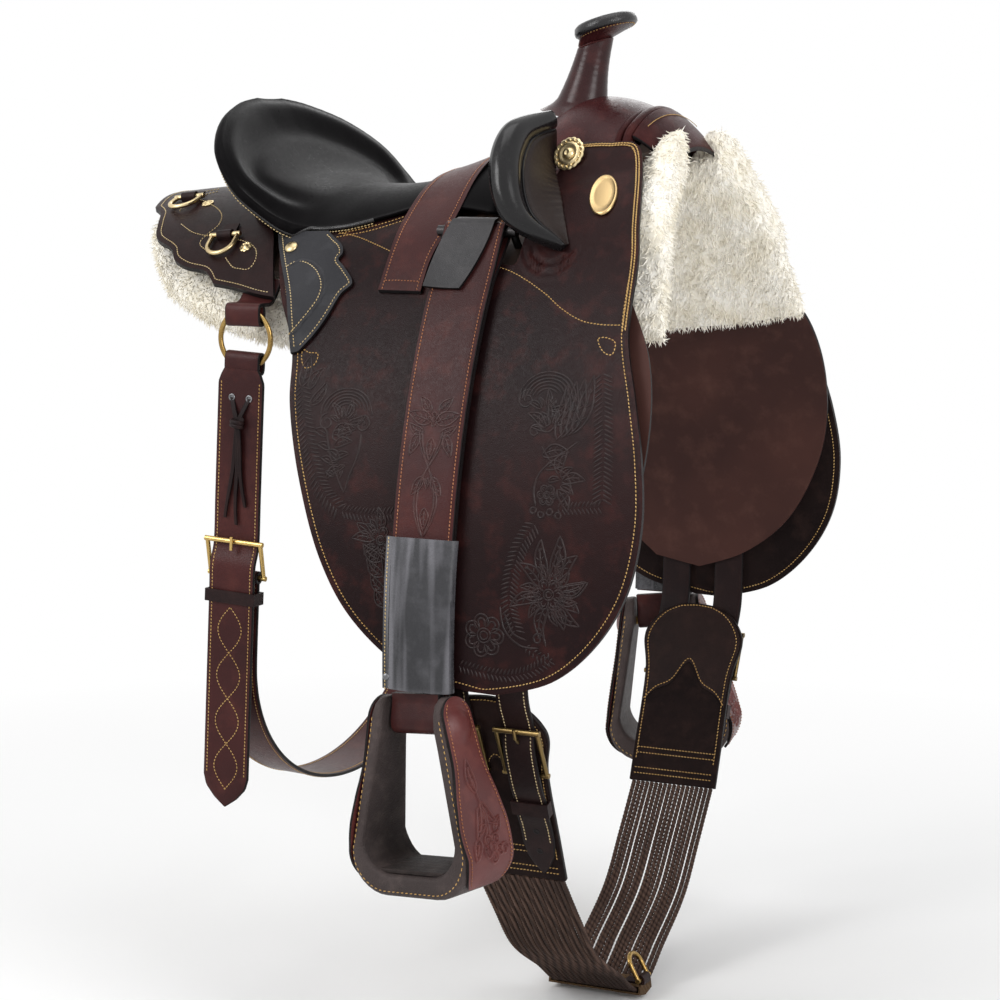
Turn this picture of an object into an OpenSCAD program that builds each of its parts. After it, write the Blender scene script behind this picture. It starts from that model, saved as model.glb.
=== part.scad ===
// Stock saddle with horn, string girth, rear cinch and wrapped stirrups.
// X points forward to the horn, Y to the near (left) side, Z up.
// The origin lies on the line of the horse's back, under the waist of the seat.

/* [Back shape] */
// Half width across the flaps at their widest level
barrel_w = 280; // [265:1:295]
// Height of the crown line above the widest level, at the origin
barrel_h = 464; // [456:1:472]
// Depth of the widest level below the origin
barrel_drop = 380; // [374:1:386]
// Dip of the crown line under the rider
waist_dip = 36; // [28:1:40]

/* [Leather] */
// Thickness of a flap
flap_t = 4.5; // [3.5:0.1:5]
// Thickness of a sweat flap
sweat_flap_t = 3.5; // [2.5:0.1:4]
// Thickness of the rear skirt
skirt_t = 5; // [4:0.1:6]
// Thickness of the straps
strap_t = 3.5; // [3:0.1:3.8]
// Thickness of the tree
tree_t = 9.5; // [8:0.1:11]
// Thickness of the fleece panels
panel_t = 35; // [25:1:42]
// Thickness of the seat padding
seat_t = 14; // [10:0.5:18]
// Clear space left between neighbouring layers
layer_gap = 0.8; // [0.6:0.1:1]

/* [Stirrup leathers] */
// Place of the stirrup leathers along the saddle
leather_x = 100; // [97:1:104]
// Width of a stirrup leather
leather_w = 62; // [50:1:64]
// Diameter of the stirrup bar
stirrup_bar_d = 10; // [8:0.5:11]
// Level of the stirrup bar, from the crown line
stirrup_bar_z = -76; // [-78:0.5:-74]
// Top level of the sleeve round the leather, from the crown line
sleeve_top_z = -342; // [-364:1:-314]
// Bottom level of the sleeve, from the crown line
sleeve_bottom_z = -476; // [-480:1:-472]
// Wall of the sleeve
sleeve_t = 2; // [1.5:0.1:2.4]

/* [Stirrups] */
// Outer width of a stirrup at its tread
stirrup_w = 135; // [128:1:145]
// Height of a stirrup from its bolt to its underside
stirrup_h = 152; // [144:1:160]
// Depth of a stirrup at its tread
stirrup_depth = 68; // [60:1:72]
// Thickness of the stirrup frame
stirrup_wall = 14; // [11:0.5:16]
// Diameter of the stirrup bolt
bolt_d = 9; // [7:0.5:10]
// Turn of the stirrups, front edge outwards
stirrup_yaw = 12; // [6:1:14]
// Lean of the stirrups, tread forwards
stirrup_lean = 6; // [0:1:7]

/* [Girth] */
// Place of the girth along the saddle
girth_x = 152; // [148:1:156]
// Width of a girth end at its foot
girth_w = 98; // [94:1:102]
// Width of a billet
billet_w = 32; // [28:1:34]
// Spacing of the two billets
billet_pitch = 60; // [56:1:64]
// Number of strings in the girth
string_count = 18; // [12:1:18]
// Diameter of a girth string
string_d = 4.6; // [3.6:0.1:4.8]
// Lowest level of the girth strings, from the crown line
girth_low_z = -830; // [-849:1:-819]

/* [Rear cinch] */
// Place of the rear cinch along the saddle
cinch_x = -128; // [-134:1:-122]
// Width of the cinch strap
cinch_w = 50; // [44:1:52]
// How far each cinch ring hangs inside the widest level of the flaps
ring_in = 74; // [70:1:76]
// Outer diameter of a cinch ring
ring_d = 60; // [56:1:64]
// Wire diameter of the cinch rings
ring_wire = 5; // [4:0.5:6]
// Lowest level of the cinch strap, from the crown line
cinch_low_z = -639; // [-659:1:-624]
// Lean of the hanging cinch, foot backwards
cinch_lean = 3; // [0:1:5]

/* [Horn] */
// Diameter of the horn cap
horn_cap_d = 62; // [56:1:70]
// Diameter of the horn neck at its base
horn_base_d = 52; // [46:1:56]
// Diameter of the horn neck under the cap
horn_top_d = 32; // [28:1:36]
// Height of the horn neck
horn_h = 62; // [54:1:70]

/* [Hidden] */
$fn = 48;

dark_brown = [0.16, 0.09, 0.08];
red_brown = [0.32, 0.13, 0.11];
black = [0.08, 0.08, 0.09];
charcoal = [0.2, 0.2, 0.21];
fleece = [0.93, 0.89, 0.79];
brass = [0.72, 0.58, 0.3];

// Back shape: the crown rises forward and dips at the waist.
barrel_tilt = 0.125;
waist_x = -30;
waist_len = 130;
dip_angle = 38;
function crown(x) = barrel_h + barrel_tilt * x;
function dip(x, t) = waist_dip * exp(-pow((x - waist_x) / waist_len, 2))
    * pow(max(0, 1 - pow(t / dip_angle, 2)), 2);
// Levels are measured from the crown line at the origin, which is this high.
crown_z = barrel_h - barrel_drop;
// A point of the right side at station x, angle t from the crown and height d above the flap face
function skin(x, t, d) =
    [x, -(barrel_w + d) * sin(t), -barrel_drop + (crown(x) + d) * cos(t) - dip(x, t)];
function angle_at(x, z, k = 5) =
    let (t = k == 0 ? 45 : angle_at(x, z, k - 1))
    acos(min(1, (z + barrel_h + dip(x, t)) / crown(x)));
function skin_z(x, z, d) = skin(x, angle_at(x, z), d);
function skin_y(x, y, d) = skin(x, asin(-y / (barrel_w + d)), d);
function unit(v) = v / norm(v);
function skin_along(x, t) = unit(skin(x + 1, t, 0) - skin(x - 1, t, 0));
function skin_down(x, t) = unit(skin(x, t + 0.2, 0) - skin(x, t - 0.2, 0));
function skin_out(x, t) = unit(cross(skin_down(x, t), skin_along(x, t)));

// Heights of the layers above the flap face
sweat_flap_top = -12;
panel_clear = 0.9;
sweat_flap_foot = sweat_flap_top - sweat_flap_t;
tree_top = -11;
tree_foot = tree_top - tree_t;
panel_top = tree_foot - layer_gap - panel_clear;
panel_foot = panel_top - panel_t;
tree_edge_z = -110;

// Smooth curve through points, u from 0 to 1
function spline(p, u) =
    let (n = len(p) - 1, k = min(floor(u * n), n - 1), f = u * n - k)
    let (a = p[max(k - 1, 0)], b = p[k], c = p[k + 1], e = p[min(k + 2, n)])
    b + f * (c - a) / 2 + f * f * (2 * a - 5 * b + 4 * c - e) / 2
    + f * f * f * (3 * b - a - 3 * c + e) / 2;
// Patch filled in between four edges that share their corners
function patch(top, foot, rear, front, u, v) =
    (1 - v) * spline(top, u) + v * spline(foot, u) + (1 - u) * spline(rear, v) + u * spline(front, v)
    - (1 - u) * (1 - v) * rear[0] - u * (1 - v) * front[0]
    - (1 - u) * v * rear[len(rear) - 1] - u * v * front[len(front) - 1];

// Closed sheet between two grids of points: rows run forward, columns run down the right side.
// The block of cells [i0, i1, j0, j1] may be left open.
module sheet(a, b, open = [0, 0, 0, 0]) {
    n = len(a);
    m = len(a[0]);
    function ida(i, j) = i * m + j;
    function idb(i, j) = n * m + i * m + j;
    function shut(i, j) = i < open[0] || i >= open[1] || j < open[2] || j >= open[3];
    function quad(p, q, r, s) = [[p, q, r], [p, r, s]];
    faces = [
        for (i = [0:n - 2]) for (j = [0:m - 2]) if (shut(i, j))
            each quad(ida(i, j), ida(i + 1, j), ida(i + 1, j + 1), ida(i, j + 1)),
        for (i = [0:n - 2]) for (j = [0:m - 2]) if (shut(i, j))
            each quad(idb(i, j), idb(i, j + 1), idb(i + 1, j + 1), idb(i + 1, j)),
        for (i = [0:n - 2]) each quad(ida(i + 1, 0), ida(i, 0), idb(i, 0), idb(i + 1, 0)),
        for (i = [0:n - 2]) each quad(ida(i, m - 1), ida(i + 1, m - 1), idb(i + 1, m - 1), idb(i, m - 1)),
        for (j = [0:m - 2]) each quad(ida(0, j), ida(0, j + 1), idb(0, j + 1), idb(0, j)),
        for (j = [0:m - 2])
            each quad(ida(n - 1, j + 1), ida(n - 1, j), idb(n - 1, j), idb(n - 1, j + 1)),
        for (i = [open[0]:1:open[1] - 1])
            each quad(ida(i, open[2]), ida(i + 1, open[2]), idb(i + 1, open[2]), idb(i, open[2])),
        for (i = [open[0]:1:open[1] - 1])
            each quad(ida(i + 1, open[3]), ida(i, open[3]), idb(i, open[3]), idb(i + 1, open[3])),
        for (j = [open[2]:1:open[3] - 1])
            each quad(ida(open[0], j + 1), ida(open[0], j), idb(open[0], j), idb(open[0], j + 1)),
        for (j = [open[2]:1:open[3] - 1])
            each quad(ida(open[1], j), ida(open[1], j + 1), idb(open[1], j + 1), idb(open[1], j))
    ];
    polyhedron([for (g = [a, b]) for (row = g) each row], faces);
}
// Sheet of even thickness laid on the back shape from a patch of (x, z) edges
module laid_sheet(top, foot, rear, front, rows, columns, high, low) {
    function at(i, j, d) =
        let (q = patch(top, foot, rear, front, i / (rows - 1), j / (columns - 1)))
        skin_z(q[0], q[1], d);
    sheet([for (i = [0:rows - 1]) [for (j = [0:columns - 1]) at(i, j, high)]],
        [for (i = [0:rows - 1]) [for (j = [0:columns - 1]) at(i, j, low)]]);
}
// Closed skin over rings of points, each ring running the same way round
module loft(rings) {
    n = len(rings);
    m = len(rings[0]);
    function id(i, k) = i * m + (k % m);
    faces = [
        [for (k = [0:m - 1]) id(0, k)],
        [for (k = [m - 1:-1:0]) id(n - 1, k)],
        for (i = [0:n - 2]) for (k = [0:m - 1])
            each [[id(i, k), id(i + 1, k), id(i + 1, k + 1)], [id(i, k), id(i + 1, k + 1), id(i, k + 1)]]
    ];
    polyhedron([for (r = rings) each r], faces);
}

// Flat strap: a path in the YZ plane thickened from height low to height high, extruded along X
function path_out(p, i) =
    let (a = p[max(i - 1, 0)], b = p[min(i + 1, len(p) - 1)], t = unit(b - a)) [t[1], -t[0]];
module strap(p, x0, x1, low, high) {
    translate([x0, 0, 0]) rotate([90, 0, 90]) linear_extrude(x1 - x0) polygon(concat(
        [for (i = [0:len(p) - 1]) p[i] + path_out(p, i) * high],
        [for (i = [len(p) - 1:-1:0]) p[i] + path_out(p, i) * low]));
}
function yz(p) = [p[1], p[2]];
module left() {
    mirror([0, 1, 0]) children();
}
// Puts a piece on a surface point with its Z axis along a direction
module facing(p, n) {
    translate(p) rotate([0, acos(n[2]), atan2(n[1], n[0])]) children();
}
// Round rod between two points
module rod(p, q, r) {
    facing(p, unit(q - p)) cylinder(r = r, h = norm(q - p));
}
// Round tube along a path that keeps clear of the direction ref
module tube(path, r, sides, ref) {
    function along(i) = unit(path[min(i + 1, len(path) - 1)] - path[max(i - 1, 0)]);
    loft([for (i = [0:len(path) - 1])
        let (t = along(i), a = unit(cross(t, ref)), b = cross(t, a))
        [for (k = [0:sides - 1]) path[i] + r * (a * cos(360 * k / sides) + b * sin(360 * k / sides))]]);
}

// Tree, gullet plate and pommel
tree_x = [-225, 205];
tree_rows = 13;
tree_columns = 13;
function tree_angle(x) = min(angle_at(x, tree_edge_z), 26 + (x - tree_x[0]) * 0.1);
module tree() {
    function at(i, j, d) =
        let (x = tree_x[0] + (tree_x[1] - tree_x[0]) * i / (tree_rows - 1))
        skin(x, tree_angle(x) * (2 * j / (tree_columns - 1) - 1), d);
    function face(d) = [for (i = [0:tree_rows - 1]) [for (j = [0:tree_columns - 1]) at(i, j, d)]];
    color("burlywood") sheet(face(tree_top), face(tree_foot), [2, 10, 4, 8]);
}

gullet_plate_x = [150, 190];
gullet_plate_angle = 30;
gullet_plate_t = 3;
module gullet_plate() {
    function at(i, j, d) = skin(gullet_plate_x[i], gullet_plate_angle * (j / 6 - 1), d);
    function face(d) = [for (i = [0:1]) [for (j = [0:12]) at(i, j, d)]];
    low = tree_top + layer_gap;
    color("silver") sheet(face(low + gullet_plate_t), face(low));
}

pommel_x = [104, 204];
pommel_angle = 17;
pommel_rise = 34;
pommel_edge = 3.5;
function pommel_d(x, t) =
    let (u = (x - pommel_x[0]) / (pommel_x[1] - pommel_x[0]))
    let (swell = pow(sin(36 + u * 130), 0.6))
    pommel_edge + pommel_rise * swell * (1 - pow(t / (pommel_angle + 2), 2));
module pommel() {
    rows = 10;
    columns = 13;
    function x_at(i) = pommel_x[0] + (pommel_x[1] - pommel_x[0]) * i / (rows - 1);
    function t_at(j) = pommel_angle * (2 * j / (columns - 1) - 1);
    sheet(
        [for (i = [0:rows - 1]) [for (j = [0:columns - 1])
            skin(x_at(i), t_at(j), pommel_d(x_at(i), t_at(j)))]],
        [for (i = [0:rows - 1]) [for (j = [0:columns - 1]) skin(x_at(i), t_at(j), layer_gap)]]);
}
module pommel_cover() {
    color(red_brown) pommel();
}

gullet_roll_r = 5;
gullet_roll_x = pommel_x[1] + gullet_roll_r + 0.5;
gullet_roll_angle = 18;
function roll_d(t) = gullet_roll_r + 2 + 8 * (1 - pow(t / gullet_roll_angle, 2));
module gullet_roll() {
    path = [for (t = [-gullet_roll_angle:3:gullet_roll_angle]) skin(gullet_roll_x, t, roll_d(t))];
    color(red_brown) tube(path, gullet_roll_r, 8, [1, 0, 0]);
}

// Leather that falls from the roll to the front edge of the gullet
facing_x = gullet_roll_x + gullet_roll_r + 0.4;
facing_len = 34;
facing_angle = 13;
module gullet_facing() {
    rows = 5;
    function at(i, j, d) =
        let (u = i / (rows - 1), t = facing_angle * (j / 6 - 1))
        skin(facing_x + facing_len * u, t, d + (roll_d(t) + flap_t / 2) * pow(1 - u, 1.8));
    function face(d) = [for (i = [0:rows - 1]) [for (j = [0:12]) at(i, j, d)]];
    color(red_brown) sheet(face(0), face(-flap_t));
}

// Horn: a waisted neck that leans forward and stands on the pommel, under a cap that reaches forward
horn_lean = 13;
horn_x = 128;
horn_foot = skin(horn_x, 0, pommel_d(horn_x, 0));
horn_cap_tilt = -17;
horn_cap_t = 12;
horn_cap_rise = 8;
horn_seat_gap = 0.4;
module horn_frame() {
    translate(horn_foot) rotate([0, horn_lean, 0]) children();
}
module horn_cap_frame() {
    horn_frame() translate([0, 0, horn_h]) rotate([0, horn_cap_tilt - horn_lean, 0]) children();
}
module horn_neck() {
    spare = 14;
    color(black) difference() {
        horn_frame() rotate_extrude() polygon(concat([[0, -spare], [horn_base_d / 2, -spare]],
            [for (k = [0:6]) let (u = k / 6)
                [horn_top_d / 2 + (horn_base_d - horn_top_d) / 2 * pow(1 - u, 1.8), horn_h * u]],
            [[horn_top_d / 2, horn_h + spare], [0, horn_h + spare]]));
        horn_cap_frame() translate([0, 0, horn_h / 2]) cube(horn_h, center = true);
        translate([0, 0, horn_seat_gap]) pommel();
    }
}
module horn_cap() {
    rim = 3;
    forward = (horn_cap_d - horn_top_d) / 2;
    color(black) horn_cap_frame() translate([0, 0, horn_seat_gap]) hull() {
        cylinder(d = horn_top_d + 2, h = 1, $fn = 32);
        translate([forward, 0, horn_cap_rise]) cylinder(d = horn_cap_d, h = horn_cap_t - rim, $fn = 32);
        translate([forward, 0, horn_cap_rise]) cylinder(d = horn_cap_d - 2 * rim, h = horn_cap_t, $fn = 32);
    }
}

// Seat: stations from the pommel back round the cantle, each with its edge and its crown height
seat_lift = 5;
seat_clear = 2.4;
seat_waist = [[101, -56], [62, -52], [28, -50], [-16, -62], [-56, -72], [-95, -74]];
seat_rim = [[-125, -156, -58], [-152, -176, -30], [-178, -164, 4], [-200, -122, 31], [-216, -66, 48],
    [-222, -24, 54]];
seat_edge = concat([for (q = seat_waist) skin_z(q[0], q[1], seat_lift)],
    [for (q = seat_rim) q + [0, 0, crown_z]]);
seat_crown = [12, -2, -14, -26, -30, -30, -28, -19, 2, 27, 46, 53];
seat_power = [2.6, 2.8, 2.8, 2.8, 2.8, 2.4, 2.2, 2, 2, 2, 2, 2];
function seat_top(s, v) =
    let (e = spline(seat_edge, s), c = crown_z + spline(seat_crown, s), p = spline(seat_power, s))
    [e[0], -e[1] * v, c + (e[2] - c) * pow(abs(v), p)];
function seat_foot(s, v) =
    let (q = seat_top(s, v), floor_z = skin_y(q[0], -abs(q[1]), seat_clear)[2])
    [q[0], q[1] * (1 - 0.02 * v * v), max(q[2] - seat_t, min(q[2] - 3, floor_z))];
module seat() {
    rows = 23;
    columns = 17;
    function s_at(i) = 1 - i / (rows - 1);
    function v_at(j) = 1 - 2 * j / (columns - 1);
    color(black) sheet(
        [for (i = [0:rows - 1]) [for (j = [0:columns - 1]) seat_top(s_at(i), v_at(j))]],
        [for (i = [0:rows - 1]) [for (j = [0:columns - 1]) seat_foot(s_at(i), v_at(j))]]);
}

// Wall under the cantle, from the rim down to the skirt
cantle_t = 8;
cantle_slope = 0.95;
cantle_tuck = 0.74;
module cantle_back() {
    columns = 19;
    first = 0.7;
    function edge(j) =
        let (v = 2 * j / (columns - 1) - 1, s = first + (1 - first) * (1 - abs(v)), q = spline(seat_edge, s))
        [q[0], (v < 0 ? -1 : 1) * q[1] * (abs(v) < 0.01 ? 0 : 1), q[2]];
    function wall(j, inset, k) =
        let (q = edge(j), drop = seat_t + 1.2 + inset * cantle_slope)
        let (m = [q[0] + inset * 0.7, q[1] * (1 - inset / 160), q[2] - drop])
        let (f = skin_y(m[0] + 10, -abs(m[1]) * cantle_tuck, skirt_top + 2 * layer_gap))
        k == 0 ? m : [f[0], m[1] * cantle_tuck, min(f[2], m[2] - 2)];
    color(dark_brown) sheet(
        [for (k = [1, 0]) [for (j = [0:columns - 1]) wall(j, 4, k)]],
        [for (k = [1, 0]) [for (j = [0:columns - 1]) wall(j, 4 + cantle_t, k)]]);
}

// Knee pads: a padded wing from a seam on the flap to a thick rolled rim
// The seam is given as (x, z, height above the flap).
poley_seam = [[198, -82, 1.6], [193, -54, 1.6], [184, -29, 3], [172, -12, 7]];
poley_rim = [[182, -186, -88], [140, -196, -58], [124, -190, -12], [126, -160, 28], [140, -112, 42]];
poley_w = 13;
module poley() {
    rows = 15;
    sides = 14;
    seam = [for (q = poley_seam) skin_z(q[0], q[1], q[2])];
    rim = [for (q = poley_rim) q + [0, 0, crown_z]];
    function ring(i) =
        let (u = i / (rows - 1), a = spline(seam, u), b = spline(rim, u))
        let (ahead = spline(rim, min(1, u + 0.05)), behind = spline(rim, max(0, u - 0.05)))
        let (e = unit(b - a), n = unit(cross(ahead - behind, e)), c = (a + b) / 2, h = norm(b - a) / 2)
        let (w = poley_w * pow(sin(12 + 156 * u), 0.5))
        [for (k = [0:sides - 1]) let (g = 360 * k / sides)
            c + e * h * cos(g) + n * w * sin(g) * (0.72 + 0.28 * cos(g))];
    color(black) loft([for (i = [0:rows - 1]) ring(i)]);
}

// Flaps and sweat flaps
slot_half = leather_w / 2 + 13;
flap_slot_z = stirrup_bar_z - 22;
slot_rear = leather_x - slot_half;
slot_front = leather_x + slot_half;
flap_top = [[-129, -70], [-100, -69], [-70, -68], [-40, -62], [-10, -53], [22, -42], [slot_rear - 18, -40],
    [slot_rear - 12, -59], [slot_rear - 6, -79], [slot_rear, flap_slot_z],
    [leather_x - slot_half / 2, flap_slot_z], [leather_x, flap_slot_z],
    [leather_x + slot_half / 2, flap_slot_z], [slot_front, flap_slot_z], [slot_front + 2, -77],
    [slot_front + 4, -56], [slot_front + 7, -34], [174, -4], [204, 8], [235, 13]];
flap_foot = [[142, -475], [172, -476]];
flap_rear = [[-129, -70], [-100, -129], [-70, -179], [-60, -230], [-39, -297], [-10, -368], [26, -420],
    [80, -460], [142, -475]];
flap_front = [[235, 13], [256, -40], [267, -96], [272, -156], [288, -210], [301, -264], [306, -319],
    [296, -376], [268, -424], [226, -460], [172, -476]];
module flap() {
    color(dark_brown) laid_sheet(flap_top, flap_foot, flap_rear, flap_front, len(flap_top), 15, 0, -flap_t);
}

sweat_z = tree_edge_z - layer_gap;
sweat_top = [[-20, sweat_z], [76, sweat_z], [172, sweat_z], [258, sweat_z]];
sweat_foot = [[100, -432], [150, -442]];
sweat_rear = [[-20, sweat_z], [-14, -194], [4, -284], [40, -372], [100, -432]];
sweat_front = [[258, sweat_z], [290, -168], [300, -234], [290, -306], [254, -378], [204, -421], [150, -442]];
module sweat_flap() {
    color("saddlebrown") laid_sheet(sweat_top, sweat_foot, sweat_rear, sweat_front, 12, 12,
        sweat_flap_top, sweat_flap_foot);
}

// Fleece panels: crowned cushions with drawn-in sides, in (x, angle) edges
panel_top_edge = [[-318, 9], [-170, 9], [-30, 9], [110, 9], [255, 9]];
panel_foot_edge = [[-262, 34], [-190, 42], [-90, 47], [40, 50], [160, 51.5], [293, 52]];
panel_rear_edge = [[-318, 9], [-304, 21], [-262, 34]];
panel_front_edge = [[255, 9], [272, 27], [293, 52]];
panel_edge_t = 12;
function ease(u) = let (c = max(0, min(1, u))) c * c * (3 - 2 * c);
module panel() {
    rows = 19;
    columns = 10;
    rise = -flap_t - 1.5 - panel_top;
    function lift(x, t) = rise * ease((41 - t) / 7) * max(ease((-238 - x) / 40), ease((x - 218) / 26));
    function cell(i, j) = patch(panel_top_edge, panel_foot_edge, panel_rear_edge, panel_front_edge,
        i / (rows - 1), j / (columns - 1));
    function full(i, j) = pow(sin(180 * i / (rows - 1)) * sin(180 * j / (columns - 1)), 0.3);
    function upper(i, j) = let (q = cell(i, j)) skin(q[0], q[1], panel_top + lift(q[0], q[1])
        - 0.3 * (panel_t - panel_edge_t) * (1 - full(i, j)));
    function lower(i, j) = let (q = cell(i, j)) skin(q[0], q[1], panel_foot
        + 0.7 * (panel_t - panel_edge_t) * (1 - full(i, j)));
    color(fleece) sheet(
        [for (i = [0:rows - 1]) [for (j = [0:columns - 1]) upper(i, j)]],
        [for (i = [0:rows - 1]) [for (j = [0:columns - 1]) lower(i, j)]]);
}

// Rear skirt: one piece round the back, in (x, angle) edges of the right half
skirt_top = 0;
skirt_outer = [[-352, 0], [-336, 10], [-294, 22], [-242, 33], [-192, 39], [-145, 41], [-106, 43]];
skirt_inner = [[-206, 0], [-204, 8], [-192, 15], [-174, 20], [-156, 25], [-142, 28], [-135, 30]];
module rear_skirt() {
    rows = 6;
    columns = 25;
    function at(i, j, d) =
        let (v = 2 * j / (columns - 1) - 1, u = i / (rows - 1))
        let (q = (1 - u) * spline(skirt_outer, abs(v)) + u * spline(skirt_inner, abs(v)))
        skin(q[0], (v < 0 ? -1 : 1) * q[1], d);
    function face(d) = [for (i = [0:rows - 1]) [for (j = [0:columns - 1]) at(i, j, d)]];
    color(dark_brown) sheet(face(skirt_top), face(skirt_top - skirt_t));
}

patch_t = 2.8;
patch_top_edge = [[-132, -83], [-73, -82]];
patch_foot_edge = [[-68, -186], [-60, -184]];
patch_rear_edge = [[-132, -83], [-112, -116], [-89, -154], [-68, -186]];
patch_front_edge = [[-73, -82], [-42, -100], [-22, -124], [-36, -154], [-60, -184]];
module corner_patch() {
    color(black) laid_sheet(patch_top_edge, patch_foot_edge, patch_rear_edge, patch_front_edge, 7, 9,
        layer_gap + patch_t, layer_gap);
}

// Studs, round rosettes and oval plates, in brass
stud_d = 9;
rosette_d = 32;
oval_w = 26;
oval_h = 42;
rosette_seat = -0.4;
oval_seat = 0.05;
stud_at = [-104, -92];
rosette_at = [160, -20];
oval_at = [214, -42];
module on_skin(x, z, d) {
    t = angle_at(x, z);
    facing(skin(x, t, d), skin_out(x, t)) children();
}
module fittings() {
    on_skin(stud_at[0], stud_at[1], layer_gap + patch_t + 0.4)
        cylinder(d1 = stud_d, d2 = stud_d * 0.6, h = 3);
    on_skin(rosette_at[0], rosette_at[1], rosette_seat) {
        cylinder(d = rosette_d, h = 2.4);
        translate([0, 0, 2.4]) cylinder(d1 = rosette_d * 0.6, d2 = rosette_d * 0.3, h = 2.4);
    }
    on_skin(oval_at[0], oval_at[1], oval_seat) linear_extrude(2.6)
        polygon([for (a = [0:15:345]) [oval_h / 2 * cos(a), oval_w / 2 * sin(a)]]);
}
module brass_fittings() {
    color(brass) {
        fittings();
        left() fittings();
    }
}

// Strap over the seat, stitched down into the flaps
rigging_x = 33;
rigging_w = 44;
rigging_end_z = -128;
module rigging_strap() {
    columns = 25;
    flap_steps = 4;
    function edge_s(x) = lookup(-x, [[-101, 0], [-62, 1], [-28, 2], [16, 3]]) / (len(seat_edge) - 1);
    function side(x, k, d) =
        let (e = skin_z(x, spline([for (q = seat_waist) q[1]], edge_s(x) * 11 / 5) - 6, 0)[2] - crown_z)
        let (z = e + (rigging_end_z - e) * k / flap_steps)
        skin_z(x, z, layer_gap + d);
    function over(x, v, d) = seat_top(edge_s(x), v) + [0, 0, 1 + d];
    function line(x, d) = concat(
        [for (k = [flap_steps:-1:0]) let (q = side(x, k, d)) [q[0], -q[1], q[2]]],
        [for (k = [0:columns - 1]) let (v = 1 - 2 * k / (columns - 1)) over(x, v, d) - [0, v * d, 0]],
        [for (k = [0:flap_steps]) side(x, k, d)]);
    xs = [for (i = [0:3]) rigging_x - rigging_w / 2 + rigging_w * i / 3];
    color(red_brown) sheet([for (x = xs) line(x, strap_t)], [for (x = xs) line(x, 0)]);
}

// Girth: leaning leather ends, buckled to the billets and joined by strings.
// Girth ends use a local frame: X forward, Y inwards, Z up the lean, from the top of the end.
girth_top_z = -482;
girth_in = 24;
girth_top = [girth_x, -(barrel_w - girth_in), crown_z + girth_top_z];
girth_lean = 21;
girth_end_t = 5;
girth_end_len = 196;
girth_ear = 7;
billet_t = 3.6;
billet_start_z = -114;
billet_d = (sweat_flap_top - flap_t) / 2;
module girth_frame() {
    translate(girth_top) rotate([girth_lean, 0, 0]) children();
}
// Point of the girth frame at depth s below the top and height w outside the inner face
function girth_yz(s, w) = [girth_top[1] + s * sin(girth_lean) - w * cos(girth_lean),
    girth_top[2] - s * cos(girth_lean) - w * sin(girth_lean)];
girth_half = girth_w / 2;
module girth_end() {
    outline = [[-girth_half, -girth_end_len], [girth_half, -girth_end_len], [girth_half, -80],
        [girth_half + girth_ear, -42], [girth_half + 2, -24], [girth_half - 12, -9], [girth_half - 30, -1],
        [-girth_half + 30, -1], [-girth_half + 12, -9], [-girth_half - 2, -24],
        [-girth_half - girth_ear, -42], [-girth_half, -80]];
    color(dark_brown) girth_frame() rotate([90, 0, 0]) linear_extrude(girth_end_t) polygon(outline);
}

buckle_top_s = 28;
buckle_foot_s = 76;
buckle_wire = 5;
billet_lie = girth_end_t + layer_gap + billet_t / 2;
billet_hump = girth_end_t + buckle_wire + 2 * layer_gap + billet_t / 2;
billet_hole_s = 40;
billet_hole_d = 12;
billet_tip_s = 186;
keeper_s = 112;
keeper_len = 14;
keeper_t = 1.8;
billet_keep = girth_end_t + keeper_t + 2 * layer_gap + billet_t / 2;
function billet_path(x) = concat(
    [for (z = [billet_start_z:-24:girth_top_z + 56]) yz(skin_z(x, z, billet_d))],
    [girth_yz(-8, billet_lie + 1), girth_yz(20, billet_lie), girth_yz(30, billet_lie),
        girth_yz(48, billet_hump), girth_yz(84, billet_hump), girth_yz(keeper_s - 8, billet_keep),
        girth_yz(keeper_s + 8, billet_keep), girth_yz(140, billet_lie), girth_yz(billet_tip_s, billet_lie)]);
module billets() {
    color(dark_brown) for (k = [-0.5, 0.5]) let (x = girth_x + k * billet_pitch) difference() {
        strap(billet_path(x), x - billet_w / 2, x + billet_w / 2, -billet_t / 2, billet_t / 2);
        girth_frame() translate([k * billet_pitch, 0, -billet_hole_s]) rotate([90, 0, 0])
            cylinder(d = billet_hole_d, h = 40);
    }
}

buckle_w = billet_w + 14;
buckle_top_w = billet_lie + billet_t / 2 + layer_gap + buckle_wire / 2;
buckle_foot_w = girth_end_t + layer_gap + buckle_wire / 2;
tongue_r = 1.6;
// Buckle frame and its tongue, in the girth frame at one billet
module buckle_at(w_half, top_s, top_w, foot_s, foot_w, tip_w) {
    function p(x, s, w) = [x, -w, -s];
    r = buckle_wire / 2;
    rod(p(-w_half - r, top_s, top_w), p(w_half + r, top_s, top_w), r);
    rod(p(-w_half - r, foot_s, foot_w), p(w_half + r, foot_s, foot_w), r);
    for (side = [-1, 1])
        rod(p(side * w_half, top_s, top_w), p(side * w_half, foot_s, foot_w), r - 0.3);
    rod(p(0, foot_s - r - 0.4, foot_w), p(0, 47, foot_w), tongue_r);
    rod(p(0, 48, foot_w - 0.7), p(0, top_s + 4, tip_w), tongue_r - 0.05);
    rod(p(0, top_s + 5, tip_w - 0.3), p(0, top_s - 5, tip_w), tongue_r);
}
module girth_buckles() {
    tip_w = buckle_top_w + buckle_wire / 2 + tongue_r + 0.5;
    half = buckle_w / 2 - buckle_wire / 2;
    color(brass) girth_frame() for (k = [-0.5, 0.5]) translate([k * billet_pitch, 0, 0])
        buckle_at(half, buckle_top_s, buckle_top_w, buckle_foot_s, buckle_foot_w, tip_w);
}

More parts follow.
